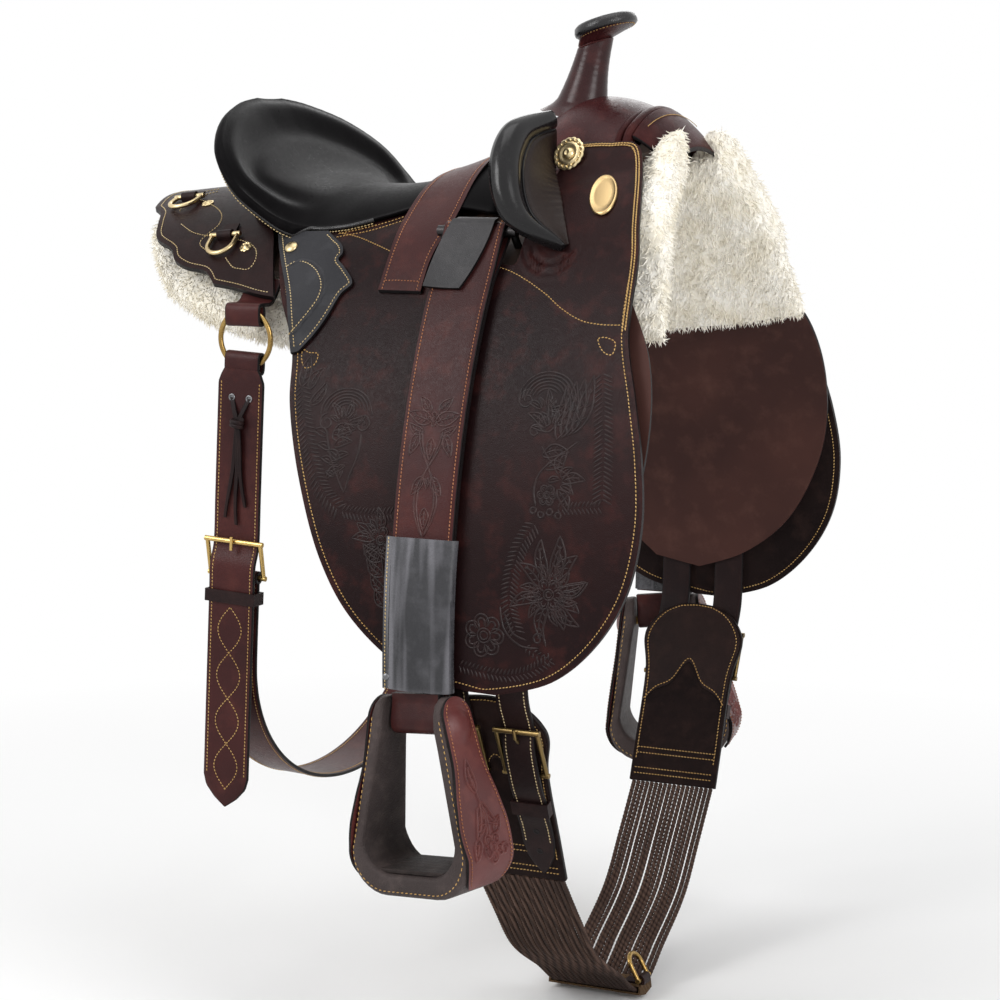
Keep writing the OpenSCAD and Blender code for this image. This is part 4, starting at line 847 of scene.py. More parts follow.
for tipX, tipZ, fat, bend in ((212, -250, 0.16, 0.1), (230, -246, 0.18, -0.08), (248, -262, 0.2, 0.12),
                              (257, -284, 0.2, -0.1), (252, -312, 0.22, 0.1), (238, -328, 0.22, 0.1),
                              (197, -300, 0.2, 0.1)):
    start = (222 + 0.3 * (tipX - 222), -298 + 0.3 * (tipZ + 298))
    flapTooling.append((leaf, start, (tipX, tipZ), fat, bend))


sweatPiece = dict(rows=60, columns=60, edgeRound=1.0, high=-12, low=-15.5,
    top=[[-20, -26.8], [76, -26.8], [172, -26.8], [258, -26.8]], foot=[[100, -348], [150, -358]],
    rear=[[-20, -26.8], [-14, -110], [4, -200], [40, -288], [100, -348]],
    front=[[258, -26.8], [290, -84], [300, -150], [290, -222], [254, -294], [204, -337], [150, -358]])


def makeSweatFlaps():
    p = sweatPiece
    obj = laidSheet("sweatFlapRight", p, p["high"], p["low"], sweatLeather, blackEdge, sweatLeather)
    bothSides(obj, "sweat_leather", nodes=["sweat_flap"])
    line, out = onFlap(flapEdge, -flapPiece["thick"])
    back = [(inset(line, out, flapPiece["sewIn"])[30:-70], -out[30:-70])]
    sewBoth("flapBackStitch", back, goldThread, "flap_leather")


# fleece panels: cushions with drawn-in sides, remeshed and teased up into wool
panelPiece = dict(top=[[-318, 9], [-170, 9], [-30, 9], [110, 9], [255, 9]],
    foot=[[-262, 34], [-190, 42], [-90, 47], [40, 50], [160, 50.5], [293, 49.5]],
    rear=[[-318, 9], [-304, 21], [-262, 34]], front=[[255, 9], [272, 26], [293, 49.5]],
    high=-22.2, thick=35, edgeThick=12, flapThick=4.5, voxel=2.8, lump=1.8, curl=0.9, sink=1.4, locks=24000,
    lockLong=6.8)


def remeshed(obj, voxel, smooth=6):
    m = obj.modifiers.new("remesh", "REMESH")
    m.mode = "VOXEL"
    m.voxel_size = voxel * mm
    s = obj.modifiers.new("soften", "SMOOTH")
    s.iterations = smooth
    s.factor = 0.5
    dg = bpy.context.evaluated_depsgraph_get()
    mesh = bpy.data.meshes.new_from_object(obj.evaluated_get(dg))
    old = obj.data
    obj.modifiers.clear()
    obj.data = mesh
    bpy.data.meshes.remove(old)
    mesh.polygons.foreach_set("use_smooth", np.ones(len(mesh.polygons), bool))
    return obj


def tease(obj, lump, curl, sink):
    # lumps and curls raised along the normals
    mesh = obj.data
    moves = [(v.co.copy(), v.normal.copy()) for v in mesh.vertices]
    for v, (co, n) in zip(mesh.vertices, moves):
        rough = noise.fractal(co * 28, 1.0, 2.0, 2)
        fine = noise.turbulence(co * 120, 2, False)
        v.co = co + n * (lump * rough + curl * 2 * (fine - 0.5) - sink) * mm
    mesh.update()


def woolLocks(obj, name, count, long):
    # short pointed locks that stand out of the fleece
    mesh = obj.data
    at, out = np.zeros(3 * len(mesh.vertices)), np.zeros(3 * len(mesh.vertices))
    mesh.vertices.foreach_get("co", at)
    mesh.vertex_normals.foreach_get("vector", out)
    draw = np.random.default_rng(11)
    pick = draw.choice(len(mesh.vertices), count, replace=False)
    at, out = at.reshape(-1, 3)[pick] / mm, out.reshape(-1, 3)[pick]
    lean = unit(0.42 * out + draw.normal(0, 0.26, out.shape) + np.array([0.1, 0, -0.5]))
    side = unit(np.cross(lean, draw.normal(0, 1, out.shape)))
    size = long * draw.uniform(0.6, 1.2, (count, 1))
    other = np.cross(lean, side)
    rings = []
    for share, r, bend in ((-0.2, 0.65, 0), (0.5, 0.5, 0.05)):
        mid = at + size * (lean * share + side * bend)
        rings += [mid + r * (side * math.cos(a) + other * math.sin(a)) for a in np.radians([0, 120, 240])]
    verts = np.stack([*rings, at + size * (lean + side * 0.14)], 1).reshape(-1, 3)
    one = [[0, 1, 4, 3], [1, 2, 5, 4], [2, 0, 3, 5], [3, 4, 6], [4, 5, 6], [5, 3, 6], [2, 1, 0]]
    return newObject(name, verts, [[7 * k + i for i in f] for k in range(count) for f in one], [fleeceWool],
                     sharp=100)


def makePanels():
    p = panelPiece
    u, v = gridUv(90, 46)
    q = patch(p["top"], p["foot"], p["rear"], p["front"], u, v)
    x, t = q[..., 0], q[..., 1]
    rise = -p["flapThick"] - 1.5 - p["high"]
    lift = rise * ease((41 - t) / 7) * np.maximum(ease((-238 - x) / 40), ease((x - 218) / 26))
    lift = lift + 12 * ease((24 - t) / 9) * ease((x - 222) / 18)  # up under the front corner of the flap
    full = np.maximum(np.sin(np.pi * u) * np.sin(np.pi * v), 0) ** 0.3
    spare = p["thick"] - p["edgeThick"]
    upper = skin(x, t, p["high"] + lift - 0.3 * spare * (1 - full))
    lower = skin(x, t, p["high"] - p["thick"] + 0.7 * spare * (1 - full))
    obj = sheetObject("panelRight", upper, lower, fleeceWool, edgeRound=0)
    remeshed(obj, p["voxel"])
    tease(obj, p["lump"], p["curl"], p["sink"])
    obj.data.materials.clear()
    obj.data.materials.append(fleeceWool)
    locks = woolLocks(obj, "panelLocksRight", p["locks"], p["lockLong"])
    bothSides(obj, "fleece", nodes=["panel"])
    bothSides(locks, "fleece")


# seat: padded leather from the pommel back round the cantle
seatPiece = dict(thick=14, lift=5, clear=2.4, rows=120, across=64,
    waist=[[101, 28], [62, 32], [28, 34], [-16, 22], [-56, 12], [-95, 10]],
    rim=[[-125, -156, 26], [-152, -176, 54], [-178, -164, 88], [-200, -122, 115], [-216, -66, 132],
         [-222, -24, 138]],
    crown=[96, 82, 70, 58, 54, 54, 56, 65, 86, 111, 130, 137],
    power=[2.6, 2.8, 2.8, 2.8, 2.8, 2.4, 2.2, 2, 2, 2, 2, 2], roll=6.0, rollAt=17, rollWide=12,
    grooveAt=40, grooveWide=13)
waistPts = np.array(seatPiece["waist"], float)
seatEdge = np.concatenate([skinZ(waistPts[:, 0], waistPts[:, 1], seatPiece["lift"]),
                           np.array(seatPiece["rim"], float)])


def seatTop(s, v, puff=True):
    e, c, p = spline(seatEdge, s), spline(seatPiece["crown"], s), spline(seatPiece["power"], s)
    z = c + (e[..., 2] - c) * np.abs(v) ** p
    q = np.stack([e[..., 0], -e[..., 1] * v, z], -1)
    if puff:
        roll = seatPiece["roll"] * ease((s - 0.44) / 0.2)
        gap = rimGap(q)
        q[..., 2] += roll * np.exp(-((gap - seatPiece["rollAt"]) / seatPiece["rollWide"]) ** 2)
        q[..., 2] -= 0.6 * roll * np.exp(-((gap - seatPiece["grooveAt"]) / seatPiece["grooveWide"]) ** 2)
    return q


def rimGap(q):
    # distance of seat points from the outer edge of the seat
    rim = spline(seatEdge, np.linspace(0.3, 1, 220))
    last = rim[-1]
    close = np.stack([np.full(20, last[0]), np.linspace(last[1], 0, 20), np.full(20, last[2])], -1)
    edge = np.concatenate([rim, close])
    flat = q.reshape(-1, 3).copy()
    flat[:, 1] = -np.abs(flat[:, 1])
    return np.linalg.norm(flat[:, None] - edge[None], axis=2).min(1).reshape(q.shape[:-1])


def seatFoot(s, v):
    q = seatTop(s, v, False)
    floor = skinY(q[..., 0], -np.abs(q[..., 1]), seatPiece["clear"])[..., 2]
    z = np.maximum(q[..., 2] - seatPiece["thick"], np.minimum(q[..., 2] - 3, floor))
    return np.stack([q[..., 0], q[..., 1] * (1 - 0.02 * v * v), z], -1)


def seatOut(s):
    # level direction away from the seat at its right edge
    a, b = spline(seatEdge, np.clip(s + 0.01, 0, 1)), spline(seatEdge, np.clip(s - 0.01, 0, 1))
    t = (a - b)[..., :2]
    out = unit(np.stack([-t[..., 1], t[..., 0]], -1))
    return np.concatenate([out, np.zeros(out.shape[:-1] + (1,))], -1)


seatArc = np.radians(np.linspace(0, 180, 9)[1:-1])


def seatRing(s):
    n = seatPiece["across"]
    v = np.linspace(-1, 1, n)
    top, foot = seatTop(np.full(n, s), v), seatFoot(np.full(n, s), v)
    out = seatOut(s)
    if out[1] > 0:
        out = -out
    ring = [*top]
    for end, turn in ((-1, flipY), (0, 1)):
        mid, half = (top[end] + foot[end]) / 2, (top[end] - foot[end]) / 2
        side = out * turn
        bulge = [mid + half * math.cos(a) + side * math.sin(a) * np.linalg.norm(half) * 0.95 for a in seatArc]
        ring += bulge if end == -1 else bulge[::-1]
        if end == -1:
            ring += [*foot[::-1]]
    return np.array(ring)


def makeSeat():
    rings = [seatRing(s) for s in np.linspace(0, 1, seatPiece["rows"])]
    rings.insert(0, rings[0] * np.array([1, 0.96, 1]) + np.array([5.5, 0, -1]))  # tucked in behind the pommel
    n, arc = seatPiece["across"], seatArc
    last, out = rings[-1], seatOut(1.0)
    top, foot = last[:n], last[n + len(arc):2 * n + len(arc)][::-1]
    mid, half = (top + foot) / 2, (top - foot) / 2
    side = np.stack([np.full(n, out[0]), -out[1] * np.linspace(-1, 1, n), np.zeros(n)], -1)
    at = np.r_[0:n, np.full(len(arc), n - 1), n - 1:-1:-1, np.zeros(len(arc), int)]
    turn = np.concatenate([np.zeros(n), arc, np.full(n, np.pi), arc[::-1]])
    bulge = side * np.linalg.norm(half, axis=1)[:, None] * 0.95
    for a in np.radians([12, 25, 40, 55, 70, 82, 88]):  # the rear edge closes in a half round
        g = np.clip(turn, a, np.pi - a)[:, None]
        rings.append(mid[at] + half[at] * np.cos(g) + bulge[at] * np.sin(g))
    obj = welded(loftObject("seatPad", rings, [seatLeather], sharp=70))
    dress(obj, "saddle", "seat_leather", "seat")
    s = np.linspace(0.3, 1.0, 220)
    foot = seatFoot(s, np.ones(220))
    foot[:, 1] = -foot[:, 1]
    out = seatOut(s)
    line = foot + out * 3.0 + np.array([0, 0, 1.5])
    full = np.concatenate([line, line[::-1] * flipY])
    pipe = loftObject("cantlePiping", tubeRings(resample(full, 4), 2.1, 10, (0, 0, 1)), [hornCapLeather])
    dress(pipe, "saddle", "seat_leather")
    low = full + np.array([0, 0, -3.2])
    nor = np.concatenate([out, out[::-1] * flipY])
    dress(stitchObject("cantleStitch", [(low + nor * 1.2, nor)], creamThread), "saddle", "seat_leather")


# wall under the cantle
cantlePiece = dict(columns=90, rows=14, thick=8, slope=0.95, tuck=0.74, first=0.67, bow=4.0, sunk=-2.5)


def makeCantleBack():
    c = cantlePiece
    v = np.linspace(-1, 1, c["columns"])
    q = spline(seatEdge, c["first"] + (1 - c["first"]) * (1 - np.abs(v)))
    y = np.where(v < 0, -1, 1) * q[:, 1] * np.minimum(1, np.abs(v) / 0.02)

    def wall(insetBy, k):
        m = np.stack([q[:, 0] + insetBy * 0.7, y * (1 - insetBy / 160),
                      q[:, 2] - seatPiece["thick"] - 1.2 - insetBy * c["slope"]], -1)
        f = skinY(m[:, 0] + 10, -np.abs(m[:, 1]) * c["tuck"], c["sunk"])
        foot = np.stack([f[:, 0], m[:, 1] * c["tuck"], np.minimum(f[:, 2], m[:, 2] - 2)], -1)
        p = m + (foot - m) * k
        p[:, 0] += c["bow"] * math.sin(math.pi * k) + 0.8 * np.sin(26 * v + 5 * k) * math.sin(math.pi * k)
        return p

    ks = np.linspace(1, 0, c["rows"])
    obj = sheetObject("cantleWall", np.array([wall(4, k) for k in ks]),
                      np.array([wall(4 + c["thick"], k) for k in ks]), skirtLeather, blackEdge)
    dress(obj, "saddle", "flap_leather", "cantle_back")


# knee pads: a gathered face sewn to the flap and a thick rolled rim
poleyPiece = dict(rows=72, sides=56, wide=13,
    seam=[[194, 3, 1.6], [170, 42, 1.6], [150, 64, 3], [138, 78, 7]],
    rim=[[190, -181, 0], [141, -196, 26], [124, -190, 72], [126, -160, 112], [145, -106, 124]],
    weltAt=0.6)


def poleyProfile(tau):
    # half thickness from the seam (0) to the rim (1)
    w = poleyPiece["weltAt"]
    face = 0.16 + 0.5 * ease(tau / w) - 0.06 * np.sin(np.pi * np.clip(tau / w, 0, 1))
    mid = (1 + w) / 2
    roll = np.sqrt(np.maximum(0, 1 - ((tau - mid) / (1 - mid)) ** 2)) * 1.05
    groove = 0.16 * np.exp(-((tau - w) / 0.025) ** 2)
    return np.where(tau < w, np.maximum(face, 0), np.maximum(roll, np.where(tau < mid, 0.58, 0))) - groove


def poleyFrame(u):
    # seam point, rim point, way out of the face and half thickness at a share of the pad's length
    p = poleyPiece
    a, b = spline(np.array([skinZ(*q) for q in p["seam"]]), u), spline(p["rim"], u)
    along = spline(p["rim"], np.minimum(1, u + 0.05)) - spline(p["rim"], np.maximum(0, u - 0.05))
    return a, b, unit(np.cross(along, unit(b - a))), p["wide"] * np.sin(np.radians(12 + 156 * u)) ** 0.5


def makePoleys():
    welt = poleyPiece["weltAt"]
    g = around(poleyPiece["sides"])
    tau = (1 + np.cos(g)) / 2
    side = np.sign(np.sin(g)) * np.minimum(1, np.abs(np.sin(g)) * 4)
    rings = []
    for u in np.linspace(0, 1, poleyPiece["rows"]):
        a, b, n, w = poleyFrame(u)
        gather = (0.9 * np.sin(u * 130) + 0.4 * np.sin(u * 47)) * math.sin(math.pi * u)
        high = (w * poleyProfile(tau) + gather * np.exp(-(tau / 0.2) ** 2)) * side
        rings.append(a + (b - a) * tau[:, None] + n * high[:, None])
    face = ((tau + np.roll(tau, -1)) / 2 <= welt).astype(int).tolist()
    obj = loftObject("poleyRight", rings, [rollLeather, faceLeather], face, sharp=75)
    bothSides(obj, "seat_leather", nodes=["poley"])
    a, b, n, w = poleyFrame(np.linspace(0.05, 0.97, 120))
    for sign, tag in ((1, "Outer"), (-1, "Inner")):
        line = a + (b - a) * welt + sign * n * (w * 0.5)[:, None]
        pipe = tubeRings(resample(line, 3), 1.5, 8, n[60])
        bothSides(loftObject("poleyWelt" + tag + "Right", pipe, [rollLeather]), "seat_leather")


# pommel cover, gullet roll and facing, horn
pommelPiece = dict(x=(104, 204), angle=17, rise=34, edge=3.5, rows=70, columns=100, gap=0.8, tuckAngle=27,
                   tuckD=-5.2)
rollPiece = dict(r=5, x=209.5, angle=18)
facingPiece = dict(x=214.9, long=34, angle=16, thick=4.5, rows=20, columns=48, drop=24)
hornPiece = dict(x=128, lean=13, tall=62, base=52, top=32, capTilt=-17, capWide=62, capThick=12, capRise=8)


def pommelD(x, t):
    u = (x - pommelPiece["x"][0]) / (pommelPiece["x"][1] - pommelPiece["x"][0])
    swell = np.sin(np.radians(36 + u * 130)) ** 0.6
    return pommelPiece["edge"] + pommelPiece["rise"] * swell * (1 - (t / (pommelPiece["angle"] + 2)) ** 2)


def makePommel():
    p, r, f = pommelPiece, rollPiece, facingPiece
    hide = "tan_strap_leather"
    ts = np.linspace(-r["angle"], r["angle"], 60)

    def cover(name, x, t, high, low, mat, edgeRound, *nodes):
        obj = sheetObject(name, skin(x, t, high), skin(x, t, low), mat, blackEdge, edgeRound=edgeRound)
        dress(obj, "saddle", hide, *nodes)

    def rollHigh(t, rad):
        return rad + 2 + 8 * (1 - (t / r["angle"]) ** 2) - 7 * ease((np.abs(t) - 14) / 4)

    def roll(name, dx, d, rad, *nodes):
        path = skin(r["x"] + dx, ts, rollHigh(ts, rad) + d)
        dress(loftObject(name, tubeRings(path, rad, 14, (1, 0, 0)), [gulletLeather]), "saddle", hide, *nodes)

    u, v = gridUv(p["rows"], p["columns"])
    x, t = p["x"][0] + (p["x"][1] - p["x"][0]) * u, p["tuckAngle"] * (2 * v - 1)
    over = ease((np.abs(t) - p["angle"]) / (p["tuckAngle"] - p["angle"]) * 2.2)  # tucked in under the flap
    hug = 5 * np.exp(-(((x - hornPiece["x"] - 3) / 30) ** 2 + (t / 6.5) ** 2))  # leather drawn up round the horn
    high = pommelD(x, np.clip(t, -p["angle"], p["angle"])) * (1 - over) + p["tuckD"] * over + hug
    low = np.minimum(p["gap"] * (1 - over) + (p["tuckD"] - 1.4) * over, high - 1.2)
    cover("pommelSkin", x, t, high, low, pommelLeather, 0.6, "pommel_cover")
    roll("gulletRoll", 0, 0, r["r"], "gullet_roll")
    roll("pommelRoll", -9, 2.5, 3.6)
    u, v = gridUv(6, 60)
    t = 0.96 * r["angle"] * (2 * v - 1)
    d = rollHigh(t, r["r"]) - 3
    cover("gulletLining", r["x"] - 8.5 + 15 * u, t, d, d - 1.4, gulletLeather, 1.0)
    u, v = gridUv(f["rows"], f["columns"])
    t = f["angle"] * (2 * v - 1)
    lift = (r["r"] + 2 + 8 * (1 - (t / r["angle"]) ** 2) + f["thick"] / 2) * (1 - u) ** 1.8 - f["drop"] * u ** 2
    cover("gulletFacing", f["x"] + f["long"] * u, t, lift, lift - f["thick"], gulletLeather, 1.0, "gullet_facing")
    x, t = f["x"] + 8, ts * 0.68
    sew = [(skin(x, t, 13.2 * (1 - 8 / f["long"]) ** 1.8 + 1.4), skinOut(x, t))]
    dress(stitchObject("gulletStitch", sew, goldThread), "saddle", hide)


def hornMatrix(cap=False):
    h = hornPiece
    foot = skin(h["x"], 0, pommelD(h["x"], 0))
    m = Matrix.Translation(Vector(foot)) @ Matrix.Rotation(math.radians(h["lean"]), 4, "Y")
    if cap:
        tilt = math.radians(h["capTilt"] - h["lean"])
        m = m @ Matrix.Translation((0, 0, h["tall"])) @ Matrix.Rotation(tilt, 4, "Y")
    return np.array(m)


def makeHorn():
    h = hornPiece
    g = around(56)
    neck, cap = hornMatrix(), hornMatrix(True)
    tilt = math.tan(math.radians(h["capTilt"] - h["lean"]))
    rings = []
    for u in np.linspace(-0.16, 1.0, 60):
        r = h["top"] / 2 + (h["base"] - h["top"]) / 2 * max(0, 1 - u) ** 1.8
        r += 0.05 * math.sin(u * 61 + 2 * math.sin(u * 9)) + 2.5 * max(0, 0.1 - u) ** 2 * 60
        ring = circle(r, h["tall"] * u, g)
        ring[:, 2] -= ring[:, 0] * tilt * max(0, (u - 0.6) / 0.4) ** 2
        rings.append(placed(neck, ring))
    dress(loftObject("hornNeck", rings, [hornLeather], sharp=80), "saddle", "horn_leather", "horn_neck")
    ahead, rim = (h["capWide"] - h["top"]) / 2, h["capWide"] / 2
    rise, top = h["capRise"], h["capRise"] + h["capThick"]
    profile = [(0.4, h["top"] / 2 + 0.6, 0), (2.5, h["top"] / 2 + 2, 1.5), (rise - 1.2, rim - 5, ahead * 0.86)]
    profile += [(z, r, ahead) for z, r in ((rise, rim - 2.2), (rise + 1.6, rim - 0.3), (rise + 4.5, rim),
                                           (top - 3.2, rim - 1.2), (top - 1.0, rim - 4), (top, rim - 9),
                                           (top + 0.3, rim * 0.4), (top + 0.4, 1.0))]
    rings = [placed(cap, circle(r, z, g, f)) for z, r, f in profile]
    obj = loftObject("hornCap", rings, [hornCapLeather, pommelLeather], sharp=80)
    kinds = np.zeros(len(obj.data.polygons), np.int32)
    kinds[:len(g) * 3] = 1  # the sloping underside is red leather
    obj.data.polygons.foreach_set("material_index", kinds)
    dress(obj, "saddle", "horn_leather", "horn_cap")
    g = np.linspace(0, 2 * np.pi, 120)
    line = placed(cap, circle(rim - 3.6, rise - 0.3, g, ahead * 0.97))
    sew = [facing(line, cap[:3, :3] @ np.array([0.15, 0, -1.0]))]
    dress(stitchObject("hornCapStitch", sew, goldThread, length=2.4), "saddle", "horn_leather")
    ring = placed(cap, circle(h["top"] / 2 + 0.5, -0.6, g[:-1]))
    dress(loftObject("hornPiping", tubeRings(ring, 0.9, 8, cap[:3, 2]), [pommelLeather]), "saddle", "horn_leather")


# rear skirt with a waved edge, dees and a sewn pattern
skirtPiece = dict(rows=30, columns=280, thick=5, sewIn=0.05,
    outer=[[[-326, 0], [-325, 5], [-320, 10.5], [-313, 15.8]],
           [[-313, 15.8], [-297, 19], [-288, 23], [-277, 27.5], [-256, 30.2]],
           [[-256, 30.2], [-247, 31.6], [-239, 33.8], [-222, 35.6], [-196, 37], [-181, 39.6]],
           [[-181, 39.6], [-153, 40.8], [-127, 42.2], [-106, 43]]],
    inner=[[-206, 0], [-204, 8], [-192, 15], [-174, 20], [-156, 25], [-142, 28], [-135, 30]],
    knots=[[(-262, 7), (-278, 8.5), (-284, 10.5), (-272, 13), (-248, 16.4), (-226, 19.8), (-214, 22.6),
            (-210, 25.5), (-215, 27.8), (-219, 29.6), (-216, 31), (-205, 32.4)],
           [(-256, 9.5), (-266, 11), (-274, 13), (-277, 16), (-274, 19)],
           [(-258, 24), (-238, 26.8), (-220, 28.2), (-192, 29.6), (-171, 30.5), (-156, 31.8), (-146, 33.6),
            (-142, 35.9), (-146, 37.4), (-156, 37.2), (-166, 36.6), (-178, 34.6)]])
skirtEdge = np.concatenate([smoothLine(part, 0.8) for part in skirtPiece["outer"]])


def skirtPoint(u, v, d):
    # u from the outer edge (0) to the inner edge (1), v from left (-1) to right (1)
    s = np.abs(v)
    rank = np.arange(len(skirtEdge))
    q = (1 - u)[..., None] * interpRows(s * rank[-1], rank, skirtEdge)
    q = q + u[..., None] * spline(skirtPiece["inner"], s)
    p = skin(q[..., 0], q[..., 1], d)
    p[..., 1] *= np.where(v < 0, -1, 1)
    return p, q


def rivetRipple(r, g):
    return 0.5 * np.sin(8 * g) * (r > 4)


def makeSkirt():
    u, w = gridUv(skirtPiece["rows"], skirtPiece["columns"])
    v = 2 * w - 1
    obj = sheetObject("rearSkirt", skirtPoint(u, v, 0)[0], skirtPoint(u, v, -skirtPiece["thick"])[0], skirtLeather,
                      blackEdge, suedeLeather, edgeRound=1.2)
    dress(obj, "saddle", "flap_leather", "rear_skirt")
    v = np.linspace(-0.98, 0.98, 560)
    p, q = skirtPoint(np.full(560, skirtPiece["sewIn"]), v, 0.0)
    n = skinOut(q[:, 0], q[:, 1])
    n[:, 1] *= np.where(v < 0, -1, 1)
    dress(stitchObject("skirtStitch", [(p, n)], creamThread), "saddle", "flap_leather")
    sewBoth("skirtKnot", [onSkin(line, 0.0, 1.5) for line in skirtPiece["knots"]], creamThread, "flap_leather")
    for tag in ("rear", "front"):
        low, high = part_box("saddle_dee_right_" + tag)
        y = (low[1] + high[1]) / 2 / mm
        x = high[0] / mm + 12
        t = math.degrees(math.asin(-y / backShape["halfWidth"]))
        m = flapFrame(x, float(skin(x, t)[2]), 0.0)
        body = [(6, -0.3), (6.2, 0.8), (5.0, 1.6), (4.2, 1.0), (3.0, 1.2), (2.2, 2.2), (0.3, 2.6)]
        rings = turned(body, m, 32, rivetRipple)
        bothSides(loftObject("skirtRivet" + tag.title() + "Right", rings, [brightBrass], sharp=50), "brass")


# corner patches, studs, rosettes and plates
cornerPiece = dict(rows=40, columns=50, edgeRound=0.7, low=0.8, thick=2.8,
    top=[[-130, 6], [-100, 7], [-72, 8]], foot=[[-68, -102], [-60, -100]],
    rear=[[-130, 6], [-111, -18], [-92, -46], [-80, -72], [-68, -102]],
    front=[[-72, 8], [-60, 2], [-48, -4], [-43, -11], [-45, -17], [-35, -24], [-21, -37], [-30, -48], [-38, -68],
           [-47, -84], [-60, -100]],
    moon=[(-96, -24), (-86, -19), (-72, -21), (-59, -28), (-50, -39), (-49, -51), (-55, -63), (-63, -75),
          (-71, -86)])


def makeCorners():
    c = cornerPiece
    d = c["low"] + c["thick"]
    obj = laidSheet("cornerPatchRight", c, d, c["low"], patchLeather, blackEdge, patchLeather)
    bothSides(obj, "seat_leather", nodes=["corner_patch"])
    rows = []
    for line, side in ((c["rear"], 4.5), (c["front"][::-1], 3.5)):
        p, n = onFlap(line, d)
        rows.append((inset(p, n, side)[2:-2], n[2:-2]))
    bothSides(ridgeObject("cornerMoonRight", [onFlap(c["moon"], d)], patchLeather, 3.4, 1.1), "seat_leather")
    rows.append(onFlap([(x - 4.5, z - 1) for x, z in c["moon"]], d))
    sewBoth("cornerStitch", rows, creamThread, "seat_leather")


fittingPiece = dict(stud=(-104, -8, 13), rosette=(161, 72, 33), oval=(212, 47, 52, 27), ovalTilt=16,
                    rosetteTilt=10, beads=16)


def flapFrame(x, z, d, tilt=0, axis="X"):
    # matrix that stands a fitting on the flap
    return standOn(flapFace(x, z, d), flapNormal(x, z)) @ np.array(Matrix.Rotation(math.radians(tilt), 4, axis))


def makeFittings():
    f = fittingPiece
    x, z, wide = f["stud"]
    r = wide / 2
    body = [(r, 0), (r, 0.8), (r * 0.86, 1.7), (r * 0.55, 2.5), (r * 0.2, 2.9)]
    bothSides(loftObject("studRight", turned(body, flapFrame(x, z, 4.0), 32), [brightBrass], sharp=60), "brass")
    x, z, wide = f["rosette"]
    r = wide / 2
    m = flapFrame(x, z, 2.2, f["rosetteTilt"])

    def scallop(rad, g):
        return (0.9 * np.abs(np.sin(8 * g)) - 0.5) * (rad > r * 0.8)

    body = [(r - 5, -7), (r - 2, -0.4), (r - 0.4, 0), (r - 0.2, 1.2), (r - 1.8, 2.3), (r * 0.74, 1.5),
            (r * 0.66, 2.7), (r * 0.52, 2.9), (r * 0.44, 1.9), (r * 0.34, 2.0), (r * 0.28, 3.9), (r * 0.16, 4.5),
            (r * 0.09, 3.6), (0.3, 3.5)]
    rose = loftObject("rosetteRight", turned(body, m, 96, scallop), [brightBrass], sharp=50)
    dress(mirrorOf(rose), "saddle", "brass")
    dress(rose, "saddle", "brass", "brass_fittings")
    ball = turned([(0.1, 0.9), (0.8, 0.7), (1.1, 0), (0.8, -0.7)], np.eye(4), 8)
    beads = [placed(m, ball + at) for at in circle(r * 0.8, 2.2, around(f["beads"]))]
    bothSides(loftMany("rosetteBeadsRight", beads, brightBrass, 80), "brass")
    x, z, tall, wide = f["oval"]
    m = flapFrame(x, z, 0.2, f["ovalTilt"], "Z")
    steps = ((1.0, 0), (1.0, 1.6), (0.95, 2.4), (0.88, 2.4), (0.84, 1.7), (0.6, 2.0), (0.2, 2.3), (0.02, 2.3))
    rings = [placed(m, circle(wide / 2 * k, h, around(64), 0, tall / 2 * k)) for k, h in steps]
    bothSides(loftObject("ovalPlateRight", rings, [plateBrass], sharp=60), "brass")


# strap over the seat, sewn down into the flaps
riggingPiece = dict(x=33, wide=46, topX=37, topWide=60, thick=3.5, endZ=-44, lift=0.8)


def makeRigging():
    r = riggingPiece

    def edgeS(x):
        return np.interp(-x, [-101, -62, -28, 16], [0, 1, 2, 3]) / (len(seatEdge) - 1)

    def line(k, d):
        # k across the strap from -1 to 1
        x = r["topX"] + k * r["topWide"] / 2
        e = skinZ(x, spline(waistPts[:, 1], np.array(edgeS(x) * 11 / 5)) - 6, 0.0)[2]
        f = np.linspace(0, 1, 26)
        side = skinZ(x + (r["x"] + k * r["wide"] / 2 - x) * ease(f * 1.6), e + (r["endZ"] - e) * f, r["lift"] + d)
        v = np.linspace(1, -1, 90)
        over = seatTop(np.full(90, edgeS(x)), v, False) + np.stack([0 * v, -v * d, 0 * v + 1 + d], -1)
        return np.concatenate([side[::-1] * flipY, over, side])

    raw = [np.array([line(k, d) for k in np.linspace(-1, 1, 22)]) for d in (r["thick"], 0)]
    for g in raw:  # ease the bend where the strap leaves the seat
        for _ in range(14):
            g[:, 1:-1] = g[:, 1:-1] * 0.5 + (g[:, :-2] + g[:, 2:]) * 0.25
    raw[0][..., 2] += 0.6
    obj = sheetObject("riggingStrap", raw[0], raw[1], strapLeather, blackEdge, suedeLeather)
    dress(obj, "saddle", "tan_strap_leather", "rigging_strap")
    top = raw[0]
    nor = unit(np.cross(np.gradient(top, axis=1), np.gradient(top, axis=0)))
    if nor[11, 70, 2] < 0:
        nor = -nor
    rows = [(top[k], nor[k]) for k in (2, 19)] + [(top[2:20, k], nor[2:20, k]) for k in (3, -4)]
    dress(stitchObject("riggingStitch", rows, orangeThread), "saddle", "tan_strap_leather")


